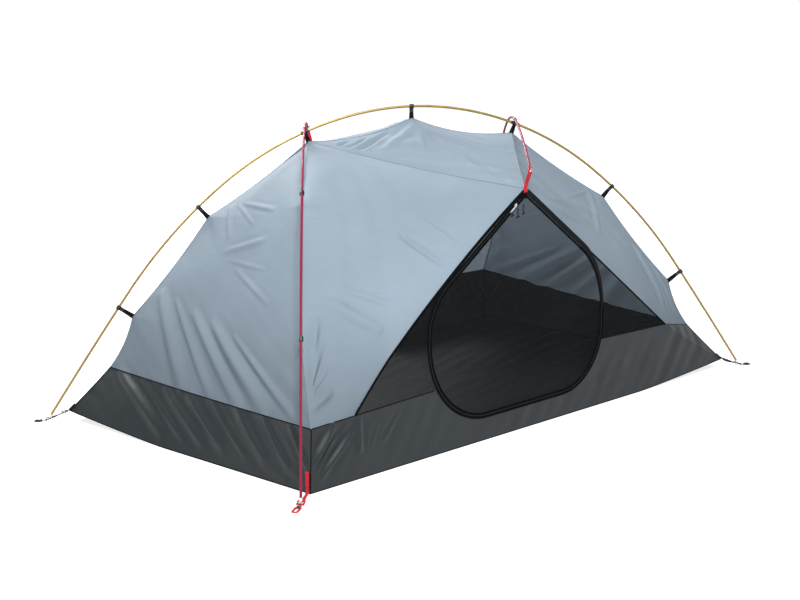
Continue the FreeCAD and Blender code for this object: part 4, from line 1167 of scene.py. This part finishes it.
gold_seam = gold_edge + gold_hang
red_seam = red_edge + red_hang
crown_seam = crown_edge + crown_hang
tub_seam_front = np.concatenate([bow(tub_red, tub_crest, 40), bow(tub_crest, tub_bend, 12)[1:],
                                 bow(tub_bend, tub_gold, 8)[1:]])
tub_seam_front = tub_seam_front + front_swell(tub_seam_front)
tub_seam_end = bow(turned(tub_gold), tub_red, 120, (0, 0, -0.004))
tub_seam_end = tub_seam_end + end_swell(tub_seam_end)
keep_seam = ~inside(tub_seam_front[:, [0, 2]], hole_flat)
first = int(np.argmax(~keep_seam))
last = len(keep_seam) - int(np.argmax(~keep_seam[::-1]))
grey_lines = [seam(line) for line in (gold_seam, red_seam, brow_left, brow_right)]
grey_lines = both(grey_lines) + [seam(crown_seam)]
piece("grey_seams", grey_lines, grey_seam, "tent", ())
dark_lines = [seam(tub_seam_end), seam(tub_seam_front[:first]), seam(tub_seam_front[last:])]
corner_line = bow(tub_red, point(-HALF_LENGTH, FRONT, 0.002), 14)
lifted_line = lifted(bow(turned(tub_gold), point(-HALF_LENGTH, HALF_WIDTH, 0.002), 14))
dark_lines += [seam(corner_line), seam(lifted_line)]
for start, end in ((point(-HALF_LENGTH, HALF_WIDTH, 0), point(-HALF_LENGTH, FRONT, 0)),
                   (point(-HALF_LENGTH, FRONT, 0), point(HALF_LENGTH, FRONT, 0))):
    dark_lines.append(seam(lifted(bow(start, end, 90)) + UP * SEAM_RADIUS))
dark_lines = both(dark_lines)
piece("tub_seams", dark_lines, binding_tape, "tent", ())

# ---------------------------------------------------------------- hook tapes, straps, corners

HOOK_REACH = 0.0168
HUB_REACH = 0.0062


def hook_tape(pole, distance, start, drop):
    """Doubled webbing from a hook's tail to the seam, and its end sewn on the seam."""
    _, tangent, inward = pole.frame(distance)
    path = np.array([pole.under(distance, start + (drop + 0.010 - start) * share)
                     for share in np.linspace(0, 1, 9)])
    outer = np.cross(tangent, inward)
    parts = []
    for side in (-1, 1):
        bow_out = np.sin(np.linspace(0, math.pi, 9))[:, None] * outer * side * 0.0010
        parts.append(band_part(path + outer * side * 0.0007 + bow_out, tangent,
                               np.linspace(0.0130, 0.0185, 9), 0.0011))
    return parts


tapes = []
for pole, distance, start, drop in ((gold, low, HOOK_REACH, HOOK_DROP_LOW),
                                    (gold, high, HOOK_REACH, HOOK_DROP_HIGH),
                                    (gold, hub, HUB_REACH, HUB_DROP),
                                    (red, red_low, HOOK_REACH, HOOK_DROP_LOW),
                                    (red, red_high, HOOK_REACH, HOOK_DROP_HIGH)):
    tapes += hook_tape(pole, distance, start, drop)
tapes = both(tapes) + hook_tape(gold, gold.length / 2, HOOK_REACH, CROWN_DROP)
piece("hook_webbing", tapes, black_tape, "tent", ["hook_tapes"])

# red webbing from the end of each red pole to the top of the netting
brow_tip, brow_tangent, _ = red.frame(red.length)
brow_eye = brow_tip + brow_tangent * 0.0142
brow_foot = turned(apex)
brow_side = point(1, 0, 0)
strap_path = smooth_path([brow_foot + (0, 0.004, -0.014), brow_foot + (0, 0.003, 0.004),
                          brow_foot * 0.5 + brow_eye * 0.5, brow_eye - brow_tangent * 0.0015
                          - UP * 0.004, brow_eye + UP * 0.010], 26)
brow = [band_part(strap_path, brow_side, 0.020, 0.0013),
        band_part(smooth_path([brow_eye + UP * 0.011 + brow_tangent * 0.001,
                               brow_eye + brow_tangent * 0.003 - UP * 0.004,
                               brow_foot * 0.5 + brow_eye * 0.5 + (0, 0.0022, 0)], 16),
                  brow_side, 0.020, 0.0012)]
piece("brow_webbing", both(brow), red_tape, "tent",
      ["brow_straps"])


def corner_frame(pole, corner):
    """The grommet's eye, the outward direction and the one across it."""
    foot, tangent, _ = pole.frame(0)
    eye = foot - tangent * (0.009 + 0.013 * 0.45)
    outward = unit((eye - corner) * (1, 1, 0))
    return eye, outward, np.cross(UP, outward)


def corner_webbing(pole, corner, start, climb, flat_side):
    """Webbing sewn up the wall, then out to the pole's foot, folded there round the ring."""
    eye, outward, side = corner_frame(pole, corner)
    begin = start + UP * 0.0032
    end = eye - outward * 0.010 + UP * 0.002
    knots = [begin + climb * share + outward * 0.002 for share in (1.0, 0.5)]
    knots += [begin + outward * 0.002 + UP * 0.002, begin * 0.75 + end * 0.25,
              begin * 0.3 + end * 0.7, end]
    path = smooth_path(knots, 30)
    turn = np.clip(np.linspace(-0.6, 1.4, 30), 0, 1)[:, None]
    twist = np.sin(math.pi * np.clip(np.linspace(-0.6, 1.25, 30), 0, 1))[:, None]
    across = unit(flat_side * (1 - turn) + side * turn - UP * twist * 0.55 * np.sign(side[1]))
    parts = [band_part(path, across, np.linspace(0.016, 0.014, 30), 0.0014),
             band_part(path[6:] - UP * 0.0017, across[6:], np.linspace(0.0155, 0.0138, 24),
                       0.0016)]
    tab = smooth_path([end - outward * 0.004 + UP * 0.0016, end + outward * 0.006 + UP * 0.0016,
                       eye * 0.5 + end * 0.5, eye + outward * 0.0078 - UP * 0.0006], 14)
    for shift in (-0.0104, 0.0104):
        parts.append(band_part(tab + side * shift, side, 0.0050, 0.0013))
    wire = eye * (1, 1, 0) + outward * 0.0105 + UP * 0.0018
    front = eye * (1, 1, 0) + outward * 0.0082
    parts.append(band_part(np.array([front + UP * height for height in
                                     (0.0030, 0.0050, 0.0070, eye[2] + 0.0004)]),
                           side, 0.0256, 0.0012))
    tongue = [front + UP * 0.0062 - outward * 0.0006, front + UP * 0.0056 + outward * 0.0006]
    tongue += [wire + (UP * math.cos(angle) + outward * math.sin(angle)) * 0.0030
               for angle in np.linspace(-0.3, math.pi / 2, 9)]
    parts.append(band_part(np.array(tongue), side, 0.0052, 0.0012))
    return parts


red_corner = point(-HALF_LENGTH, FRONT, 0)
gold_corner = point(-HALF_LENGTH, HALF_WIDTH, 0)
red_climb = point(0.004, 0.004, 0.066)
lifted_corner = gold_corner + UP * CORNER_LIFT
gold_climb = unit(turned(tub_gold) - lifted_corner) * 0.030
red_start = red_corner + (0, 0.012, 0) + corner_frame(red, red_corner)[1] * 0.003
red_parts = corner_webbing(red, red_corner, red_start, red_climb, point(0, -1, 0))
gold_side = corner_frame(gold, gold_corner)[2]
gold_start = lifted_corner + corner_frame(gold, gold_corner)[1] * 0.0006
black_parts = corner_webbing(gold, gold_corner, gold_start, gold_climb, gold_side)
piece("red_corner_webbing", both(red_parts), red_tape,
      "tent", ["red_corner_straps"])
piece("black_corner_webbing", both(black_parts),
      black_tape, "tent", ["black_corner_straps"])


def stake_loop(pole, corner, run):
    """Steel ring, black keeper and a loop of webbing, all lying on the ground."""
    eye, outward, side = corner_frame(pole, corner)
    middle = eye * (1, 1, 0) + outward * 0.017 + UP * 0.0018
    angles = np.linspace(0, 2 * math.pi, 40, endpoint=False)[:, None]
    ring_path = middle + (outward * np.cos(angles) + side * np.sin(angles)) * 0.0065
    wire = tube_part(ring_path, 0.0015, 10, True)
    begin = middle + outward * 0.009
    radius = 0.0080
    loop_path = []
    for angle in np.linspace(math.pi / 2, 3 * math.pi / 2, 14):
        loop_path.append(begin + outward * (radius - math.cos(angle - math.pi) * radius)
                         + side * math.sin(angle) * radius)
    for angle in np.linspace(-math.pi / 2, math.pi / 2, 14):
        loop_path.append(begin + outward * (run - 0.012 - radius + math.cos(angle) * radius)
                         + side * math.sin(angle) * radius)
    loop_path = np.array(loop_path)
    around = unit(np.roll(loop_path, -1, 0) - np.roll(loop_path, 1, 0))
    cloth_loop = band_part(loop_path, np.cross(UP, around), 0.0078, 0.0026, True)
    keeper = band_part(np.array([begin + outward * share + UP * 0.0032
                                 for share in (-0.003, 0.004, 0.011, 0.018)]),
                       side, (0.006, 0.011, 0.012, 0.008), 0.0030)
    return wire, cloth_loop, keeper


for pole, corner, run, names, tape_material, tape_slot in (
        (gold, gold_corner, 0.034, ("back_left", "front_right"), black_tape, "black_webbing"),
        (red, red_corner, 0.058, ("front_left", "back_right"), red_tape, "red_webbing")):
    wire, cloth_loop, keeper = stake_loop(pole, corner, run)
    for turn, name in enumerate(names):
        body = f"{name}_stake_loop"
        group = [turned_part(part) if turn else part for part in (wire, cloth_loop, keeper)]
        piece(f"{name}_ring", group[0], steel, body, [body])
        piece(f"{name}_loop", group[1], tape_material, body, [body])
        piece(f"{name}_keeper", group[2], black_plastic, body, ())

# ties inside the top of the doorway
ties, toggles = [], []
for shift, drop in ((-0.054, 0.014), (-0.026, 0.022), (0.002, 0.014)):
    top = point(apex[0] + shift, FRONT + 0.006, apex[2] - 0.040 - drop)
    ties += [band_part(smooth_path([top, top + (side * 0.003, 0.001, -0.015),
                                    top - UP * 0.030], 10), (1, 0, 0), 0.0020, 0.0011)
             for side in (-1, 1)]
    middle = top - UP * 0.032
    span = np.linspace(-1, 1, 9)
    bar = middle + span[:, None] * point(0.0076, 0, 0.0012)
    toggles.append(tube_part(bar, 0.0030 - 0.0010 * np.abs(span) ** 3, 12))
piece("tie_cords", both(ties), tie_fibre, "tent", ["door_ties"])
piece("tie_toggles", both(toggles), black_plastic, "tent",
      ["door_ties"])

# ---------------------------------------------------------------- finishes of the frame's parts

FINISHES = (("gold_pole_hooks", black_plastic), ("gold_pole_tips", pale_plastic),
            ("gold_pole_", gold_metal), ("red_pole_hooks", black_plastic),
            ("red_pole_tips", pale_plastic), ("red_pole_", red_metal),
            ("pole_ferrules", bare_metal), ("gold_shock_cord", cord_fibre),
            ("red_shock_cords", cord_fibre), ("hub_sleeves", black_plastic),
            ("hub_pins", steel), ("grommets", steel), ("strap_adjusters", black_plastic),
            ("front_slider", zip_silver), ("back_slider", zip_silver),
            ("front_puller", zip_silver), ("back_puller", zip_silver))
for name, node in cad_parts.items():
    for start, material in FINISHES:
        if name.startswith(start):
            node.data.materials.clear()
            node.data.materials.append(material)
            break

# ---------------------------------------------------------------- studio

floor_mesh = bpy.data.meshes.new("studio_floor")
SPAN = 60.0
floor_mesh.from_pydata([(-SPAN, -SPAN, 0), (SPAN, -SPAN, 0), (SPAN, SPAN, 0), (-SPAN, SPAN, 0)],
                       [], [(0, 1, 2, 3)])
studio_floor = bpy.data.objects.new("studio_floor", floor_mesh)
scene.collection.objects.link(studio_floor)
studio_floor.location.z = -0.0005
paper = Finish("studio_paper")
paper_shader = paper.add("ShaderNodeBsdfPrincipled", {
    "Base Color": paper.mix(paper.noise(0.7, 2), (0.34, 0.34, 0.34, 1), (0.36, 0.36, 0.36, 1)),
    "Roughness": 0.9, "Specular IOR Level": 0.1, "Emission Color": (1, 1, 1, 1),
    "Emission Strength": 0.80})
floor_mesh.materials.append(paper.done(paper_shader.outputs[0]))

world = bpy.data.worlds.new("studio")
scene.world = world
world.use_nodes = True
world.node_tree.nodes["Background"].inputs["Color"].default_value = (0.98, 0.99, 1.0, 1)
world.node_tree.nodes["Background"].inputs["Strength"].default_value = 0.55


def softbox(name, location, target, size, power):
    data = bpy.data.lights.new(name, "AREA")
    data.shape = "RECTANGLE"
    data.size, data.size_y = size
    data.energy = power
    light = bpy.data.objects.new(name, data)
    scene.collection.objects.link(light)
    light.location = location
    aim = np.array(target) - np.array(location)
    yaw = math.atan2(aim[1], aim[0]) - math.pi / 2
    pitch = math.atan2(aim[2], math.hypot(aim[0], aim[1]))
    light.rotation_euler = (math.pi / 2 + pitch, 0, yaw)


softbox("key", (-2.9, -3.4, 4.9), (0, 0, 0.4), (1.6, 1.6), 520)
softbox("back", (1.8, 4.8, 3.6), (0, 0, 0.4), (2.4, 2.0), 700)

scene.view_settings.view_transform = "Standard"
